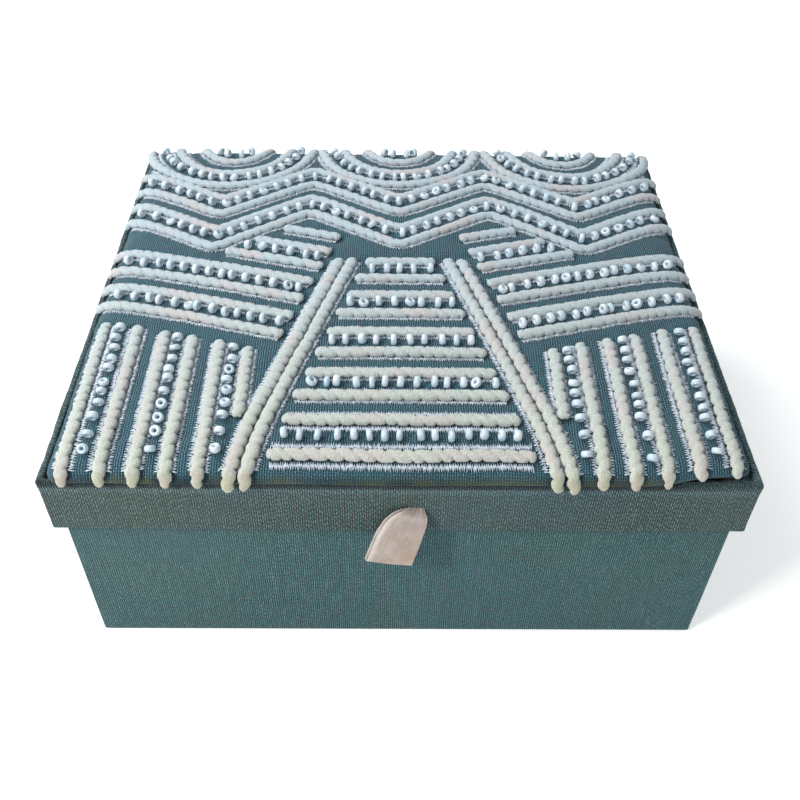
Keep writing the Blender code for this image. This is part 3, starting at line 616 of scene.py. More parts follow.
def ribbon_finish():
    """Fine ribbed cotton, tanned low down and to the right, with a painted highlight along its left edge."""
    made = Finish("ribbon", 0.7, sheen=0.25, specular=0.25)
    across, along = made.pattern()
    height, thread, row = made.weave(across, along, (0.00040, 0.00052), 0.55, 0.10)
    made.colour = made.shade(height, 0.1, 0.9, (144, 132, 126), (192, 180, 174))
    made.tint(made.streaks(thread, row, 1.0, 0.2, 0.9), 0.4, 0.62, 0.5, (188, 170, 156))
    low = made.between(made.split(made.place())[2], 0.060, 0.084)
    right = made.between(across, 0.25 * RIBBON_WIDTH, 0.95 * RIBBON_WIDTH)
    made.paint(made.times(made.times(low, -1.0, 1.0), made.times(right, 0.5, 0.3)), (180, 150, 124))
    made.tint(made.cloud(190.0, 3.0), 0.42, 0.62, 0.40, (200, 186, 184))
    # Painted highlight along the left edge, where the back ply faces the light.
    made.paint(made.between(across, 0.04 * RIBBON_WIDTH, 0.12 * RIBBON_WIDTH, 0.55, 0.0), (226, 220, 214))
    crease_and_shade = made.streaks(across, along, 2.2, 0.5, 420.0)
    # Painted shade along the creases; the same noise raises them as bumps.
    made.tint(crease_and_shade, 0.46, 0.68, 0.30, (150, 136, 130))
    return made.finish(made.times(crease_and_shade, 1.5, height), 0.00012, 0.8)


def lining_finish(name, upright):
    """Natural cotton. Its threads run along the walls, or across the floor where upright is False."""
    made = Finish(name, 0.9, sheen=0.1, specular=0.25)
    x, y, z = made.split(made.place())
    across, along = (made.math("ADD", x, y), z) if upright else (x, y)
    height = made.weave(across, along, (0.0007, 0.0007), 0.5, 0.25)[0]
    made.colour = made.shade(height, 0.15, 0.8, (176, 170, 156), (218, 213, 200))
    made.tint(made.cloud(26.0, 3.0), 0.4, 0.7, 0.3, (206, 198, 182))
    return made.finish(height, 0.0002, 0.6)


def board_finish(name, dark, light, specks):
    made = Finish(name, 0.85, specular=0.3)
    fibre = made.cloud(specks, 4.0, 0.65)
    made.colour = made.shade(fibre, 0.3, 0.7, dark, light)
    made.tint(made.cloud(30.0), 0.4, 0.7, 0.2, dark)
    return made.finish(fibre, 0.00012, 0.5)


# The embroidery's layout in plan, as in the solids


def edge_roll(inset):
    return np.sqrt(1 - (1 - np.clip(inset / PAD_EDGE_ROLL, 0, 1)) ** 2)


def canvas_height(x, y):
    rolled = edge_roll(PAD_HALF_X - abs(x)) * edge_roll(PAD_HALF_Y - abs(y))
    crowned = (1 - (x / PAD_HALF_X) ** 2) * (1 - (y / PAD_HALF_Y) ** 2)
    return PAD_EDGE_RISE * rolled + PAD_CROWN * np.maximum(crowned, 0)


def wave(x):
    """How far back the first zigzag row lies at x."""
    turn = np.arcsin(-WAVE_SHARPNESS_SHARE * np.cos(2 * math.pi * x / WAVE_PERIOD))
    swing = WAVE_SWING_SHARE * WAVE_PERIOD
    highest_row = PAD_HALF_Y - SCALLOP_RADIUS - WAVE_SCALLOP_PITCH
    middle = highest_row - (WAVE_ROWS - 1) * ROW_PITCH * WAVE_STEEPNESS + swing
    return middle + swing * turn / math.asin(WAVE_SHARPNESS_SHARE)


def on_pad(x, y, margin):
    return (abs(x) < PAD_HALF_X - margin) & (abs(y) < PAD_HALF_Y - margin)


def side_of(line, x, y):
    """How far a point lies to the left of the line through two points."""
    (x0, y0), (x1, y1) = line
    return ((x1 - x0) * (y - y0) - (y1 - y0) * (x - x0)) / math.hypot(x1 - x0, y1 - y0)


def direction_of(start, end):
    return math.atan2(end[1] - start[1], end[0] - start[0])


def in_middle_field(x, y, margin, border):
    beside_spine = side_of(SPINE, abs(x), y) > SPINE_CLEARANCE + border
    return on_pad(x, y, margin) & beside_spine & (y < SPINE[1][1])


def in_side_field(x, y, margin, border, behind):
    """behind is 1 for the field behind the split, and -1 for the one before it."""
    beside_spine = side_of(SPINE, x, y) < -(SPINE_CLEARANCE + border)
    before_wave = y < wave(x) - (CORD_RADIUS + border) * WAVE_STEEPNESS
    return on_pad(x, y, margin) & beside_spine & before_wave & (behind * side_of(SPLIT, x, y) > border)


def straight_row(direction, offset):
    along = np.array([math.cos(direction), math.sin(direction)])
    start = np.array([-along[1], along[0]]) * offset
    reach = math.ceil((PAD_HALF_X + PAD_HALF_Y) / ROW_STEP)
    return start + along * ROW_STEP * np.arange(-reach, reach + 1)[:, None]


def ring_row(centre, radius):
    turns = np.linspace(math.pi, 2 * math.pi, math.ceil(math.pi * radius / ROW_STEP) + 1)
    return np.column_stack([centre[0] + radius * np.cos(turns), centre[1] + radius * np.sin(turns)])


def zigzag_row(lift):
    reach = PAD_HALF_X + ROW_TUCK
    across = np.linspace(-reach, reach, math.ceil(2 * PAD_HALF_X / ROW_STEP))
    return np.column_stack([across, wave(across) + lift])


def clipped(row, inside, *values):
    """The longest run of a row's points that lies inside."""
    turns = np.flatnonzero(np.diff([False, *inside(*row.T, *values), False]))
    _, start, end = max(((end - start, start, end) for start, end in turns.reshape(-1, 2)), default=(0, 0, 0))
    return row[start:end]


# The canvas, swollen between its stitched rows


def canvas_stations(half):
    """Grid lines across the pad, evenly spaced along its canvas, and their distances along it."""
    across = np.linspace(-half, half, 4001)
    height = PAD_EDGE_RISE * edge_roll(half - abs(across)) + PAD_CROWN * (1 - (across / half) ** 2)
    along = lengths_along(np.column_stack([across, height]))
    places = np.linspace(0, along[-1], round(along[-1] / CANVAS_CELL) + 1)
    return np.interp(places, along, across), places


def swollen(places, stitched, finish):
    """The canvas after a cloth simulation has pressed it up wherever no stitches hold it."""
    piece = sheet_of(places * SIM_SCALE, None, "canvas_simulation", finish)
    group = piece.vertex_groups.new(name="stitched")
    group.add([int(index) for index in np.flatnonzero(stitched)], 1.0, "REPLACE")
    cloth = piece.modifiers.new("cloth", "CLOTH")
    cloth.settings.vertex_group_mass = group.name
    for name, value in SIM_SETTINGS.items():
        setattr(cloth.settings, name, value)
    cloth.settings.effector_weights.gravity = 0
    cloth.collision_settings.use_collision = False
    cloth.point_cache.frame_start, cloth.point_cache.frame_end = 1, SIM_FRAMES
    for step in range(1, SIM_FRAMES + 1):
        bpy.context.scene.frame_set(step)
    moved = read(piece.evaluated_get(bpy.context.evaluated_depsgraph_get()).data.vertices, "co", 3)
    bpy.data.objects.remove(piece, do_unlink=True)
    bpy.context.scene.frame_set(1)
    move = moved.reshape(places.shape) / SIM_SCALE - places
    size = np.linalg.norm(move, axis=-1, keepdims=True)
    return places + move * np.minimum(1, QUILT_CAP / np.maximum(size, 1e-9))


def held_down(places, rows):
    """Which points of the canvas its stitched rows and its border hold."""
    points = np.concatenate(rows)
    tree = KDTree(len(points))
    for number, point in enumerate(points):
        tree.insert((*point, 0), number)
    tree.balance()
    reach = np.array([tree.find((*point, 0))[2] for point in places[..., :2].reshape(-1, 2)])
    border = np.ones(places.shape[:2], bool)
    border[2:-2, 2:-2] = False
    return (reach < STITCHED_REACH) | border.ravel()


def border_of(index):
    """Indices of a grid's border, once round."""
    return np.concatenate([index[0, :-1], index[:-1, -1], index[-1, :0:-1], index[:0:-1, 0]])


def add_canvas(rows, finish):
    """The embroidered canvas and the wadding that it is stretched over."""
    across, u = canvas_stations(PAD_HALF_X)
    along, v = canvas_stations(PAD_HALF_Y)
    x, y = np.meshgrid(across, along)
    places = np.stack([x, y, PAD_EDGE_Z + canvas_height(x, y)], axis=-1)
    stitched = held_down(places, rows)
    places = swollen(places, stitched, finish["canvas"])

    half = np.array([PAD_HALF_X, PAD_HALF_Y])
    side = PAD_EDGE_Z - PAD_UNDERSIDE_Z
    shape = Shape()
    pattern = grid(u, v)
    ring = border_of(shape.add_sheet(places, pattern))
    edge, drawn = places.reshape(-1, 3)[ring], pattern.reshape(-1, 2)[ring]
    outward = (np.abs(edge[:, :2]) > half - 1e-5) * np.sign(edge[:, :2])
    above, above_drawn = ring, drawn
    for share in (0.5, 1.0):
        foot_z = np.full(len(edge), PAD_EDGE_Z - side * share)
        foot = np.column_stack([edge[:, :2] - outward * PAD_TUCK * share, foot_z])
        foot_drawn = drawn + outward * side * share
        above, above_drawn = shape.add_band(above, foot, above_drawn, foot_drawn), foot_drawn
    canvas = shape.build("embroidered_canvas", finish["canvas"])
    smoothed(canvas)
    thicken(canvas, CANVAS, -1)
    on_body("lid", canvas, "canvas", "embroidered_panel")

    shape = Shape()
    inner = places[::2, ::2] if places.shape[0] % 2 and places.shape[1] % 2 else places
    inner = inner * (*(half - CANVAS - GLUE_GAP - PAD_TUCK) / half, 1) - (0, 0, CANVAS + GLUE_GAP)
    ring = border_of(shape.add_sheet(inner))
    foot = inner.reshape(-1, 3)[ring] * (1, 1, 0) + (0, 0, FOAM_UNDERSIDE_Z)
    shape.add_faces(shape.add_band(ring, foot)[None, ::-1])
    wadding = shape.build("wadding", finish["wadding"])
    on_body("lid", wadding, "pad_foam", "pad_foam")
    return canvas


class Ground:
    """Heights and normals of the canvas on a fine grid in plan, for what is laid on it."""

    def __init__(self, canvas):
        tree = BVHTree.FromObject(canvas, bpy.context.evaluated_depsgraph_get())
        self.half = np.array([PAD_HALF_X, PAD_HALF_Y]) - SIDE_INSET
        self.count = np.ceil(2 * self.half / HEIGHT_STEP).astype(int) + 1
        x, y = (np.linspace(-half, half, count) for half, count in zip(self.half, self.count))
        above, down = PAD_EDGE_Z + 5 * PAD_EDGE_RISE, Vector((0, 0, -1))
        heights = [[tree.ray_cast(Vector((a, b, above)), down)[0].z for b in y] for a in x]
        self.heights = np.array(heights)[..., None]
        slopes = np.gradient(self.heights[..., 0], x, y)
        self.normals = unit(np.stack([-slopes[0], -slopes[1], np.ones_like(slopes[0])], axis=-1))

    def look(self, field, plan):
        place = (plan + self.half) / (2 * self.half) * (self.count - 1)
        low = np.clip(np.floor(place).astype(int), 0, self.count - 2)
        (a, b), (s, t) = low.T, (place - low).T[..., None]
        near = field[a, b] * (1 - t) + field[a, b + 1] * t
        far = field[a + 1, b] * (1 - t) + field[a + 1, b + 1] * t
        return near * (1 - s) + far * s

    def lay(self, plan):
        """Places and normals of a line in plan. Past the pad's edge the line runs down its side."""
        held = np.clip(plan, -self.half, self.half)
        over = plan - held
        depth = np.abs(over).max(axis=1)
        outward = np.zeros((len(plan), 3))
        outward[:, :2] = np.where(np.abs(over) >= depth[:, None], np.sign(over), 0)
        outward = unit(outward)
        places = np.column_stack([held, self.look(self.heights, held)])
        rise = np.maximum(places[:, 2] - PAD_EDGE_Z, HEIGHT_STEP)
        left = np.clip(1 - depth / rise, 0, 1)
        inset = PAD_EDGE_ROLL * (1 - np.sqrt(1 - (edge_roll(SIDE_INSET) * left) ** 2))
        places += outward * (SIDE_INSET - inset)[:, None]
        places[:, 2] -= depth
        places += spread(held)
        places[:, 2] -= droop(places[:, 1])
        hanging = smooth(depth, 0.0003, 0.0018) * (outward[:, 1] < -0.5)
        places[:, 1] -= hanging * np.maximum(places[:, 1] + LID_HALF_Y + HANG_CLEARANCE, 0)
        normals = unit(self.look(self.normals, held) * left[:, None] + outward * (1 - left)[:, None])
        return places, normals


def front_spread(x):
    loss = SPREAD_RIGHT_LOSS_SHARE * smooth(x, SPREAD_LOSS_FROM * PAD_HALF_X, PAD_HALF_X)
    return SPREAD_FRONT * (1 - loss) + 0.0003 * wobble(x, 0.037, 82)


def spread(places):
    """How far the pad's soft edge moves outwards and up, for places given before it."""
    x, y = places[..., 0], places[..., 1]
    beside = 1 - smooth(PAD_HALF_X - abs(x), 0, SPREAD_FADE)
    before = 1 - smooth(PAD_HALF_Y - abs(y), 0, SPREAD_FADE)
    side = SPREAD_SIDE + SPREAD_REAR_CORNERS * smooth(y, SPREAD_REAR_FROM * PAD_HALF_Y, PAD_HALF_Y)
    side = side + 0.0004 * wobble(y, 0.031, 81)
    lift = np.where(y < 0, FRONT_LIFT, 0) * before
    before = before * np.where(y < 0, -front_spread(x), SPREAD_BACK)
    return np.stack([np.sign(x) * beside * side, before, lift], axis=-1)


def droop(y):
    """How far the soft edge hangs down where it reaches past the rim's front."""
    return DROOP * smooth(-y, DROOP_FROM_Y, DROOP_FROM_Y + DROOP_RUN)


def spread_mesh(piece):
    """Move a finished piece's soft edge outwards where it is over the rim. Its pattern goes with it."""
    mesh, layer = piece.data, piece.data.uv_layers["pattern"].data
    places = read(mesh.vertices, "co", 3)
    move = spread(places)
    corners = read(mesh.loops, "vertex_index", 1, np.int32)[:, 0]
    pattern = read(layer, "uv", 2) + move[corners, :2]
    layer.foreach_set("uv", pattern.astype(np.float32).ravel())
    places += move * smooth(places[:, 2], RIM_TOP_Z + 0.0001, RIM_TOP_Z + 0.0008)[:, None]
    places[:, 2] -= droop(places[:, 1])
    mesh.vertices.foreach_set("co", places.ravel())
    mesh.update()


# Rows of the embroidery in plan


def field_offsets(inside, direction):
    """Offsets of the rows that fill a field, the same as the solid's."""
    probe = ROW_PITCH / 4
    columns, rows = (math.ceil(half / probe) for half in (PAD_HALF_X, PAD_HALF_Y))
    x, y = probe * np.mgrid[-columns:columns + 1, -rows:rows + 1]
    held = inside(x, y, ROW_EDGE_MARGIN, BORDER_CLEARANCE)
    offsets = (y * math.cos(direction) - x * math.sin(direction))[held]
    first, last = offsets.min() + probe, offsets.max() + probe / 2
    return first + ROW_PITCH * np.arange(math.floor((last - first) / ROW_PITCH) + 1)


def field_lines(inside, direction):
    """A field's rows of cord and its rows of beads."""

    def lines(offsets, margin, border, least):
        rows = [clipped(straight_row(direction, offset), inside, margin, border) for offset in offsets]
        return [row for row in rows if len(row) * ROW_STEP > least]

    offsets = field_offsets(inside, direction)
    bead_border = YARN_CLEARANCE + BEAD_RADIUS / 2
    return (
        lines(offsets, -FRONT_TUCK, YARN_CLEARANCE, 4 * CORD_RADIUS),
        lines(offsets[:-1:2] + ROW_PITCH / 2, BEAD_EDGE_MARGIN, bead_border, 2 * BEAD_SPACING),
    )


def embroidery_lines():
    """Rows of cord by CAD node, and rows of beads by the name of their piece."""
    cords, beads = {}, {}

    def add_both_sides(kind, name, rows):
        kind[f"{name}_right"], kind[f"{name}_left"] = rows, [row * (-1, 1) for row in rows]

    def across_pad(rows, margin):
        return [clipped(row, on_pad, margin) for row in rows]

    cords["couched_cord_middle"], beads["beads_middle"] = field_lines(in_middle_field, 0)
    for place, behind, direction in (("lower", -1, math.pi / 2), ("upper", 1, direction_of(*SPLIT))):
        cord_rows, bead_rows = field_lines(partial(in_side_field, behind=behind), direction)
        add_both_sides(cords, f"couched_cord_{place}", cord_rows)
        add_both_sides(beads, f"beads_{place}", bead_rows)

    direction = direction_of(*SPINE)
    middle = np.array([-math.sin(direction), math.cos(direction)]) @ SPINE[0]
    for place, offset in (("outer", -SPINE_PITCH / 2), ("inner", SPINE_PITCH / 2)):
        row = straight_row(direction, middle + offset)
        row = row[row[:, 1] < SPINE[1][1] + CORD_RADIUS]
        add_both_sides(cords, f"spine_cord_{place}", across_pad([row], -FRONT_TUCK))

    lift = ROW_PITCH * WAVE_STEEPNESS
    cords["zigzag_cord"] = across_pad(map(zigzag_row, lift * np.arange(WAVE_ROWS)), -ROW_TUCK)
    bead_lifts = lift * (np.arange(0, WAVE_ROWS - 1, 2) + 0.5)
    beads["beads_zigzag"] = across_pad(map(zigzag_row, bead_lifts), BEAD_EDGE_MARGIN)
    radii = SCALLOP_RADIUS - ROW_PITCH * np.arange(SCALLOP_RINGS)
    for index in range(WAVE_COUNT):
        ring = partial(ring_row, ((index - (WAVE_COUNT - 1) / 2) * WAVE_PERIOD, PAD_HALF_Y))
        cords[f"scallop_cord_{index + 1}"] = across_pad(map(ring, radii), -ROW_TUCK)
        bead_rings = map(ring, radii[::2] - ROW_PITCH / 2)
        beads[f"beads_scallop_{index + 1}"] = across_pad(bead_rings, BEAD_EDGE_MARGIN)
    return cords, beads


# Yarn, stitches and beads


def beyond(plan):
    """How far a point in plan lies outside the pad's widest line, negative inside it."""
    return np.maximum(np.abs(plan[:, 0]) - PAD_HALF_X, np.abs(plan[:, 1]) - PAD_HALF_Y)


def sideways(plan):
    along = unit(np.gradient(plan, axis=0))
    return np.column_stack([-along[:, 1], along[:, 0]])


def add_yarn(shape, ground, row, seed):
    """One row of soft cord: slanted lobes, a slight wander, ends that round off or tuck in."""
    random = np.random.default_rng(seed)
    hanging = smooth(front_spread(row[:, 0]) / SPREAD_FRONT, 0.76, 0.88) * (row[:, 1] < -PAD_HALF_Y)
    tuck = ROW_TUCK + (FRONT_TUCK - ROW_TUCK) * hanging
    plan, distance = resampled(row[beyond(row) < tuck], YARN_STEP)
    plan = plan + sideways(plan) * wobble(distance, YARN_WANDER_LENGTH, seed)[:, None] * YARN_WANDER
    places, normals = ground.lay(plan)
    flat = YARN_FLAT - (YARN_FLAT - YARN_TUCKED_FLAT) * smooth(beyond(plan), -0.0018, 0.0009)
    radius = CORD_RADIUS * (1 + YARN_SWELLING * wobble(distance, YARN_SWELLING_LENGTH, seed + 1))
    ends = np.minimum(distance, distance[-1] - distance) / CORD_RADIUS
    radius = radius * np.sqrt(1 - (1 - np.clip(ends + 0.04, 0, 1)) ** 2)
    centres = places + normals * (CORD_RADIUS * flat - YARN_SINK)[:, None]
    along = lengths_along(centres)

    lobes = np.cumsum(random.uniform(*LOBE_SPREAD, math.ceil(along[-1] / LOBE_LENGTH) + 8)) * LOBE_LENGTH
    lobes = lobes - 2 * LOBE_LENGTH
    turn = np.linspace(0, 2 * math.pi, YARN_SIDES, endpoint=False)
    place = along[:, None] + LOBE_SLANT * CORD_RADIUS * np.sin(turn)
    after = np.clip(np.searchsorted(lobes, place), 1, len(lobes) - 1)
    share = (place - lobes[after - 1]) / (lobes[after] - lobes[after - 1])
    notch = np.abs(2 * share - 1) ** LOBE_FULLNESS
    depth = NOTCH_ON_TOP + (NOTCH_AT_SIDES - NOTCH_ON_TOP) * np.sin(turn) ** 2
    ragged = 1 + YARN_ROUGHNESS * random.standard_normal(place.shape)
    radii = radius[:, None] * (ragged + 0.07 - notch * depth)
    shape.add_tube(rings_round(centres, normals, radii, flat), along, CORD_RADIUS)


def add_stitches(shape, ground, row, seed):
    """A ragged zigzag of thread on each side of a row."""
    random = np.random.default_rng(seed)
    for side in (1, -1):
        line = resampled(row, STITCH_STEP)[0][STITCH_ENDS:-STITCH_ENDS]
        if len(line) < 2 * STITCH_ENDS:
            continue
        out = np.arange(len(line)) % 2 == 1
        reach = np.where(out, STITCH_OUTER, STITCH_INNER)
        spread = np.where(out, STITCH_OUTER_SPREAD, STITCH_INNER_SPREAD)
        reach = reach + spread * random.uniform(-1, 1, len(line))
        across = sideways(line)
        along = np.column_stack([across[:, 1], -across[:, 0]])
        plan = line + across * (side * reach)[:, None]
        plan = plan + along * random.uniform(-STITCH_SHIFT, STITCH_SHIFT, (len(line), 1))
        held = beyond(plan) < -STITCH_EDGE_MARGIN
        plan, out = plan[held], out[held]
        places, normals = ground.lay(plan)
        lift = np.where(out, STITCH_OUTER_LIFT, STITCH_INNER_LIFT)
        lift = lift + STITCH_LIFT_SPREAD * random.uniform(-1, 1, len(plan))
        points = places + normals * lift[:, None]
        middles = (points[1:] + points[:-1]) / 2 + (normals[1:] + normals[:-1]) / 2 * STITCH_BULGE
        thread = np.empty((2 * len(points) - 1, 3))
        thread[::2], thread[1::2] = points, middles
        radii = np.full((len(thread), 4), STITCH_RADIUS) * random.uniform(0.8, 1.2, (len(thread), 1))
        rings = rings_round(thread, np.repeat(normals, 2, axis=0)[:-1], radii)
        shape.add_tube(rings, lengths_along(thread), STITCH_RADIUS)


def bead_outline():
    """Radii and shifts along the hole of the rounds that make up one bead."""
    steps = np.linspace(0, 2 * math.pi, BEAD_ROUNDS, endpoint=False)
    out, up = (np.sign(value) * np.abs(value) ** BEAD_ROUNDNESS for value in (np.cos(steps), np.sin(steps)))
    middle, thick = (1 + BEAD_HOLE / BEAD_RADIUS) / 2, (1 - BEAD_HOLE / BEAD_RADIUS) / 2
    return middle + thick * out, up


def add_beads(shape, ground, row, seed):
    """Seed beads along a row, most with their holes along it."""
    random = np.random.default_rng(seed)
    count = max(1, int(len(row) * ROW_STEP / BEAD_SPACING))
    row, distance = resampled(row, ROW_STEP / 2)
    spots = (np.arange(count) + 0.5) * distance[-1] / count
    spots = spots + random.uniform(-BEAD_SPACING_SPREAD, BEAD_SPACING_SPREAD, count)
    plan = at(spots, distance, row)
    steps = at(spots + ROW_STEP, distance, row) - at(spots - ROW_STEP, distance, row)
    plan += random.uniform(-BEAD_SHIFT, BEAD_SHIFT, plan.shape)
    outline, shift = bead_outline()
    turn = np.linspace(0, 2 * math.pi, BEAD_SIDES, endpoint=False)
    for place, normal, step in zip(*ground.lay(plan), steps):
        size, length = random.uniform(*BEAD_RADIUS_SPREAD), BEAD_LENGTH * random.uniform(*BEAD_LENGTH_SPREAD)
        along = unit(np.array([*step, 0.0])) * (1 if step[1] >= 0 else -1)
        along = unit(along - normal * (along @ normal))
        tip = BEAD_LEAN * along[1] ** 2 + random.uniform(-BEAD_SWING, BEAD_SWING)
        if random.random() < TIPPED_SHARE:
            tip = random.uniform(*BEAD_TIP) * random.choice((-1, 1))
        swing = random.uniform(-BEAD_SWING, BEAD_SWING)
        axis = unit(along * math.cos(swing) + np.cross(normal, along) * math.sin(swing))
        across = np.cross(normal, axis)
        axis = unit(axis * math.cos(tip) + normal * math.sin(tip))
        off = np.cross(axis, across)
        lift = BEAD_RADIUS * math.cos(tip) + length / 2 * abs(math.sin(tip))
        centre = place + normal * lift * BEAD_SEAT
        round_it = np.cos(turn)[:, None] * across + np.sin(turn)[:, None] * off
        radius = BEAD_RADIUS * size * (1 + BEAD_WIDENING * along[0] ** 2) * outline
        rounds = centre + radius[:, None, None] * round_it[None] + (length / 2 * shift)[:, None, None] * axis
        here = shape.add_places(rounds.reshape(-1, 3)) + np.arange(BEAD_ROUNDS * BEAD_SIDES)
        here = here.reshape(BEAD_ROUNDS, BEAD_SIDES)
        ahead = np.roll(here, -1, axis=0)
        faces = [here, np.roll(here, -1, axis=1), np.roll(ahead, -1, axis=1), ahead]
        shape.add_faces(np.stack(faces, axis=-1).reshape(-1, 4))


def add_embroidery(ground, cords, beads, finish):
    def drawn(name, look, add, rows, seed, seed_step):
        shape = Shape()
        for index, row in enumerate(rows):
            add(shape, ground, row, seed + seed_step * index)
        return shape.build(name, finish[look])

    for number, (node, rows) in enumerate(cords.items()):
        yarn = drawn(f"yarn_{node}", "yarn", add_yarn, rows, 1000 * number, 17)
        stitches = drawn(f"stitches_{node}", "stitches", add_stitches, rows, 1000 * number + 7, 17)
        on_body("lid", yarn, "cord_cotton", node)
        on_body("lid", stitches, "cord_cotton")
    for number, (name, rows) in enumerate(beads.items()):
        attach(drawn(name, "beads", add_beads, rows, 50000 + 1000 * number, 1), "lid")


# Cloths round the boards


def cloth_ring(half, profile):
    """Places round a rounded rectangle for each point of an upright profile, as rows by columns.

    The profile gives how far out of the rectangle each point lies, and its height. Also returned are
    the pattern coordinates, and the outward directions in plan.
    """
    quarters = np.array([(1, 1), (-1, 1), (-1, -1), (1, -1), (1, 1)])
    signs, ways = [], []
    for quarter in range(4):
        turn = np.linspace(0, math.pi / 2, CORNER_STEPS + 1) + quarter * math.pi / 2
        arc = np.column_stack([np.cos(turn), np.sin(turn)])
        count = max(2, round(2 * (half[quarter % 2] - CORNER_RADIUS) / CLOTH_CELL))
        share = np.concatenate([np.zeros(len(turn)), np.linspace(0, 1, count + 1)[1:-1]])[:, None]
        signs.append(quarters[quarter] * (1 - share) + quarters[quarter + 1] * share)
        ways += [arc, np.repeat(arc[-1:], count - 1, axis=0)]
    signs, ways = np.concatenate(signs), np.concatenate(ways)
    out, height = np.array(profile).T[..., None]
    radius = np.maximum(CORNER_RADIUS + out, LEAST_RADIUS)
    plan = (np.array(half) + out - radius)[:, None] * signs + radius[..., None] * ways
    places = np.dstack([plan, np.broadcast_to(height, plan.shape[:2])])
    face = places[list(out[:, 0]).index(0)]
    pattern = grid(lengths_along(np.concatenate([face, face[:1]])), lengths_along(np.array(profile)))
    return places, pattern, ways


def bulges(length, wavelength, seed):
    return 0.5 + 0.5 * wobble(length, wavelength, seed)


def arc_profile(centre, radius, start, end, steps):
    turns = np.radians(np.linspace(start, end, steps))
    return [(centre[0] + radius * math.cos(turn), centre[1] + radius * math.sin(turn)) for turn in turns]


def upright(out, low, high, step):
    count = max(1, round(abs(high - low) / step))
    return [(out, low + (high - low) * index / count) for index in range(count + 1)]


def joined(*parts):
    """One profile out of several, without the points that repeat."""
    line = []
    for point in (point for part in parts for point in part):
        if not line or math.dist(line[-1], point) > 1e-6:
            line.append(point)
    return line


def add_wrap(node, body, half, profile, puff, finish):
    """A cloth round the boards. puff says how far its places stand out of the profile, and over it."""
    places, pattern, ways = cloth_ring(half, profile)
    out, up = puff(pattern[0, :-1, 0], *np.array(profile).T[..., None])
    places[..., :2] += ways * out[..., None]
    places[..., 2] += up
    piece = sheet_of(places, pattern, f"{node}_wrap", finish, closed_across=True)
    thicken(piece, CLOTH, -1)
    on_body(body, piece, "slub_cloth", node)


def add_body_cloth(finish):
    fold, inside, under = 0.0011, 0.012, 0.014
    profile = joined(
        upright(-BODY_WALL, BODY_TOP_Z - inside, BODY_TOP_Z - fold, 0.002),
        arc_profile((fold - BODY_WALL, BODY_TOP_Z - fold), fold, 180, 90, 6),
        arc_profile((-fold, BODY_TOP_Z - fold), fold, 90, 0, 6),
        upright(0, BODY_TOP_Z - fold, BODY_UNDERSIDE_Z + fold, 0.003),
        arc_profile((-fold, BODY_UNDERSIDE_Z + fold), fold, 0, -90, 6),
        [(-share * under, BODY_UNDERSIDE_Z) for share in (0.3, 0.6, 1.0)],
    )[::-1]

    def puff(length, out, height):
        on_face = (out > -1e-6) & (height > 0.004)
        fade = smooth(height, 0.002, 0.02) * smooth(BODY_TOP_Z - height, 0.002, 0.012)
        return 0.00022 * bulges(length, 0.043, 31) * (fade * on_face), 0

    add_wrap("body_cloth", "box", (BODY_HALF_X, BODY_HALF_Y), profile, puff, finish)


def add_rim_cloth(finish):
    fold = RIM_WALL / 2
    profile = joined(
        upright(-RIM_WALL, LID_LINING_UNDERSIDE_Z - 0.001, RIM_BOTTOM_Z + fold, 0.002),
        arc_profile((-fold, RIM_BOTTOM_Z + fold), fold, 180, 360, 9),
        upright(0, RIM_BOTTOM_Z + fold, RIM_TOP_Z - fold, 0.0016),
        arc_profile((-fold, RIM_TOP_Z - fold), fold, 0, 180, 13),
        upright(-RIM_WALL, RIM_TOP_Z - fold, LID_BOARD_TOP_Z + 0.0008, 0.001),
        [(-RIM_WALL - out, LID_BOARD_TOP_Z + CLOTH + 0.00005) for out in (0.0004, 0.0016, 0.0032)],
    )

    def puff(length, out, height):
        """Small folds along the top edge, and a slight waviness along the bottom edge."""
        near_top = smooth(height, RIM_TOP_Z - 0.0060, RIM_TOP_Z - 0.0008) * smooth(out, -RIM_WALL, -fold)
        near_bottom = (1 - smooth(height, RIM_BOTTOM_Z, RIM_BOTTOM_Z + 0.004)) * (out > -fold)
        folds = 0.00032 * bulges(length, 0.0080, 41) + 0.00024 * bulges(length, 0.0032, 42)
        waves = 0.00036 * bulges(length, 0.021, 45)
        up = 0.00038 * bulges(length, 0.0110, 43) + 0.00028 * bulges(length, 0.0036, 44)
        return folds * near_top + waves * near_bottom, up * smooth(height, RIM_TOP_Z - 0.0016, RIM_TOP_Z)

    add_wrap("rim_cloth", "lid", (LID_HALF_X, LID_HALF_Y), profile, puff, finish)


def add_hinge_cloth(finish):
    """One strip of cloth from the back wall to the inside of the rear rim."""
    half_bend, blend_reach = 0.0012, 0.0014
    wall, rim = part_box("hinge_leaf_body"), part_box("hinge_leaf_lid")
    low, high = wall[0], rim[1]
    wall_y, rim_y = (wall[0][1] + wall[1][1]) / 2, (rim[0][1] + rim[1][1]) / 2
    pattern = grid(np.linspace(low[0], high[0], HINGE_COLUMNS), np.linspace(low[2], high[2], HINGE_ROWS))
    z = pattern[..., 1]
    y = wall_y + (rim_y - wall_y) * smooth(z, HINGE_PIVOT.z - half_bend, HINGE_PIVOT.z + half_bend)
    piece = sheet_of(np.stack([pattern[..., 0], y, z], axis=-1), pattern, "hinge_cloth", finish)
    thicken(piece, CLOTH, 0)
    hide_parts("hinge_leaf_body", "hinge_leaf_lid")
    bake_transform(piece)


# Ribbon pull


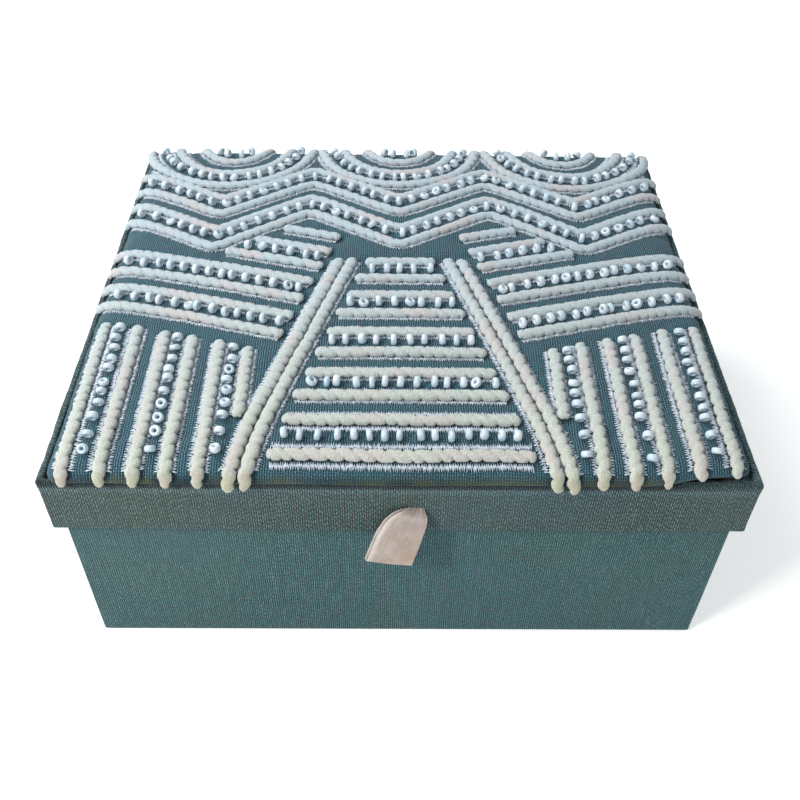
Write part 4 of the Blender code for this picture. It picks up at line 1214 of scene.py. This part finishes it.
def add_ribbon(finish):
    """A ribbon folded double, drawn together where both its ends go through the hole."""
    turn = Matrix.Rotation(RIBBON_SLANT, 4, "Y") @ Matrix.Rotation(math.pi / 2 - RIBBON_LIFT_FROM_FACE, 4, "X")
    turn = np.array(turn)[:3, :3]
    origin = np.array(RIBBON_PIVOT) + (0, 0, RIBBON_TOP_RISE)
    share = np.linspace(0, 1, RIBBON_ACROSS)
    half = (RIBBON_FOLDED - RIBBON_SHEET) / 2
    down = np.concatenate([np.linspace(0, 0.14, 9)[:-1], np.linspace(0.14, RIBBON_TURN_SHARE, 26)])
    bend = np.linspace(0, math.pi, 9)[1:-1]
    # Down the front ply, round the fold and up the back ply. front goes from 1 to -1 round the fold
    t = np.concatenate([down, RIBBON_TURN_SHARE + (1 - RIBBON_TURN_SHARE) * np.sin(bend), down[::-1]])[:, None]
    front = np.concatenate([np.ones(len(down)), np.cos(bend), -np.ones(len(down))])[:, None]
    behind = (1 - front) / 2
    creases = 0.6 * np.cos(share * 5.0 * math.pi + 0.5) + 0.4 * np.cos(share * 9.0 * math.pi + 2.0)
    front_left, back_left, right = (
        np.interp(t, *zip(*edge)) for edge in (RIBBON_FRONT_LEFT, RIBBON_BACK_LEFT, RIBBON_RIGHT)
    )
    left = front_left * (1 - behind) + back_left * behind
    x = (left + (right - left) * share) * RIBBON_WIDTH
    y = -t * np.interp(share, *zip(*RIBBON_FOOT)) * RIBBON_LENGTH
    gathered = 0.00018 * creases * (1 - smooth(t, 0.03, 0.42))
    bow = 0.00055 * np.sin(share * math.pi) * np.sin(math.pi * t) * np.sign(front)
    curl = 0.0009 * smooth(1 - share, 0.86, 1.0) * np.sin(math.pi * t) * (1 - behind)
    swell = 0.0004 * wobble(t * 3 + share * 1.5, 1.0, 71)
    placed = np.stack([x, y, half * front + gathered + bow - curl + swell], axis=-1) @ turn.T + origin
    hole = np.stack(np.broadcast_arrays(
        RIBBON_PIVOT.x + (share - 0.5) * RIBBON_NECK_WIDTH,
        RIBBON_NECK_DEPTH - LID_HALF_Y,
        RIBBON_PIVOT.z + 0.0003 * np.sign(front) + 0.00035 * creases,
    ), axis=-1)
    outside = smooth(t, 0.0, 0.10)[..., None]
    places = hole * (1 - outside) + placed * outside
    v = lengths_along(places[:, RIBBON_ACROSS // 2])
    piece = sheet_of(places, grid(share * RIBBON_WIDTH, v), "ribbon_pull", finish)
    smoothed(piece)
    thicken(piece, RIBBON_SHEET, 0)
    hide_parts("ribbon_tab", "ribbon_tail")
    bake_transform(piece)


# Camera, light and floor


def add_camera():
    data = bpy.data.cameras.new("camera")
    data.sensor_width = SENSOR_MM
    data.lens = CAMERA_FOCAL_PIXELS * SENSOR_MM / PHOTO_PIXELS
    data.clip_start, data.clip_end = 0.01, 50
    camera = linked("camera", data)
    turn = Matrix.Rotation(CAMERA_TURN, 4, "Z") @ Matrix.Rotation(CAMERA_TILT, 4, "X")
    camera.matrix_world = Matrix.Translation(CAMERA_PLACE) @ turn @ Matrix.Rotation(CAMERA_ROLL, 4, "Z")
    bpy.context.scene.camera = camera


def add_light(name, place, target, size, power, colour=(1.0, 1.0, 1.0)):
    data = bpy.data.lights.new(name, "AREA")
    data.shape, data.size, data.energy, data.color = "SQUARE", size, power, colour
    toward = (Vector(target) - Vector(place)).to_track_quat("-Z", "Y").to_matrix().to_4x4()
    linked(name, data).matrix_world = Matrix.Translation(place) @ toward


def add_studio():
    floor = Finish("floor", 0.9)
    for socket, value in {
        "Base Color": (0.93, 0.93, 0.93, 1), "Emission Color": (1, 1, 1, 1), "Emission Strength": FLOOR_GLOW
    }.items():
        floor.shader.inputs[socket].default_value = value
    reach = (-FLOOR_REACH, FLOOR_REACH)
    places = np.array([[(x, y, 0.0) for x in reach] for y in reach])
    sheet_of(places, None, "studio_floor", floor.material)
    world = bpy.data.worlds.new("studio")
    world.use_nodes = True
    world.node_tree.nodes["Background"].inputs["Color"].default_value = WORLD_COLOUR
    world.node_tree.nodes["Background"].inputs["Strength"].default_value = WORLD_STRENGTH
    bpy.context.scene.world = world
    bpy.context.scene.view_settings.view_transform = "Standard"
    add_light("key_light", (-0.75, 0.55, 1.10), (0, 0, 0.08), 0.6, KEY_POWER)
    add_light("fill_light", (-0.52, -0.46, 0.62), (-0.06, -0.1, 0.05), 0.16, FILL_POWER, FILL_COLOUR)


def dress_boards():
    """Finishes of the CAD nodes that stay as they are, by a part of their names."""
    flats = lining_finish("flat_lining", False)
    for part, look in {
        "board": board_finish("raw_greyboard", (128, 122, 112), (166, 160, 150), 900.0),
        "pad_card": board_finish("white_card_board", (206, 204, 198), (226, 224, 219), 1200.0),
        "bottom_paper": board_finish("slate_paper", (80, 98, 100), (104, 120, 120), 1500.0),
        "wall_lining": lining_finish("wall_lining", True),
        "lid_lining": flats,
        "floor_lining": flats,
    }.items():
        for piece in bpy.data.objects:
            if piece.type == "MESH" and part in piece.name:
                for slot in piece.material_slots:
                    slot.material = look


def main():
    add_camera()
    add_studio()
    dress_boards()
    finish = {
        "canvas": canvas_finish(),
        "yarn": yarn_finish(),
        "stitches": stitch_finish(),
        "beads": bead_finish(),
        "wadding": board_finish("wadding_fibre", (214, 210, 200), (236, 233, 226), 700.0),
    }
    body_slub = slub_finish("slub_cloth", 0.15, (116, 168, 172), (48, 112, 118))
    rim_slub = slub_finish("rim_slub_cloth", 0.26, (128, 170, 170), (92, 98, 88))
    cords, beads = embroidery_lines()
    canvas = add_canvas([row for rows in cords.values() for row in rows], finish)
    ground = Ground(canvas)
    spread_mesh(canvas)
    add_embroidery(ground, cords, beads, finish)
    add_body_cloth(body_slub)
    add_rim_cloth(rim_slub)
    add_hinge_cloth(body_slub)
    add_ribbon(ribbon_finish())


main()

bpy.context.view_layer.update()
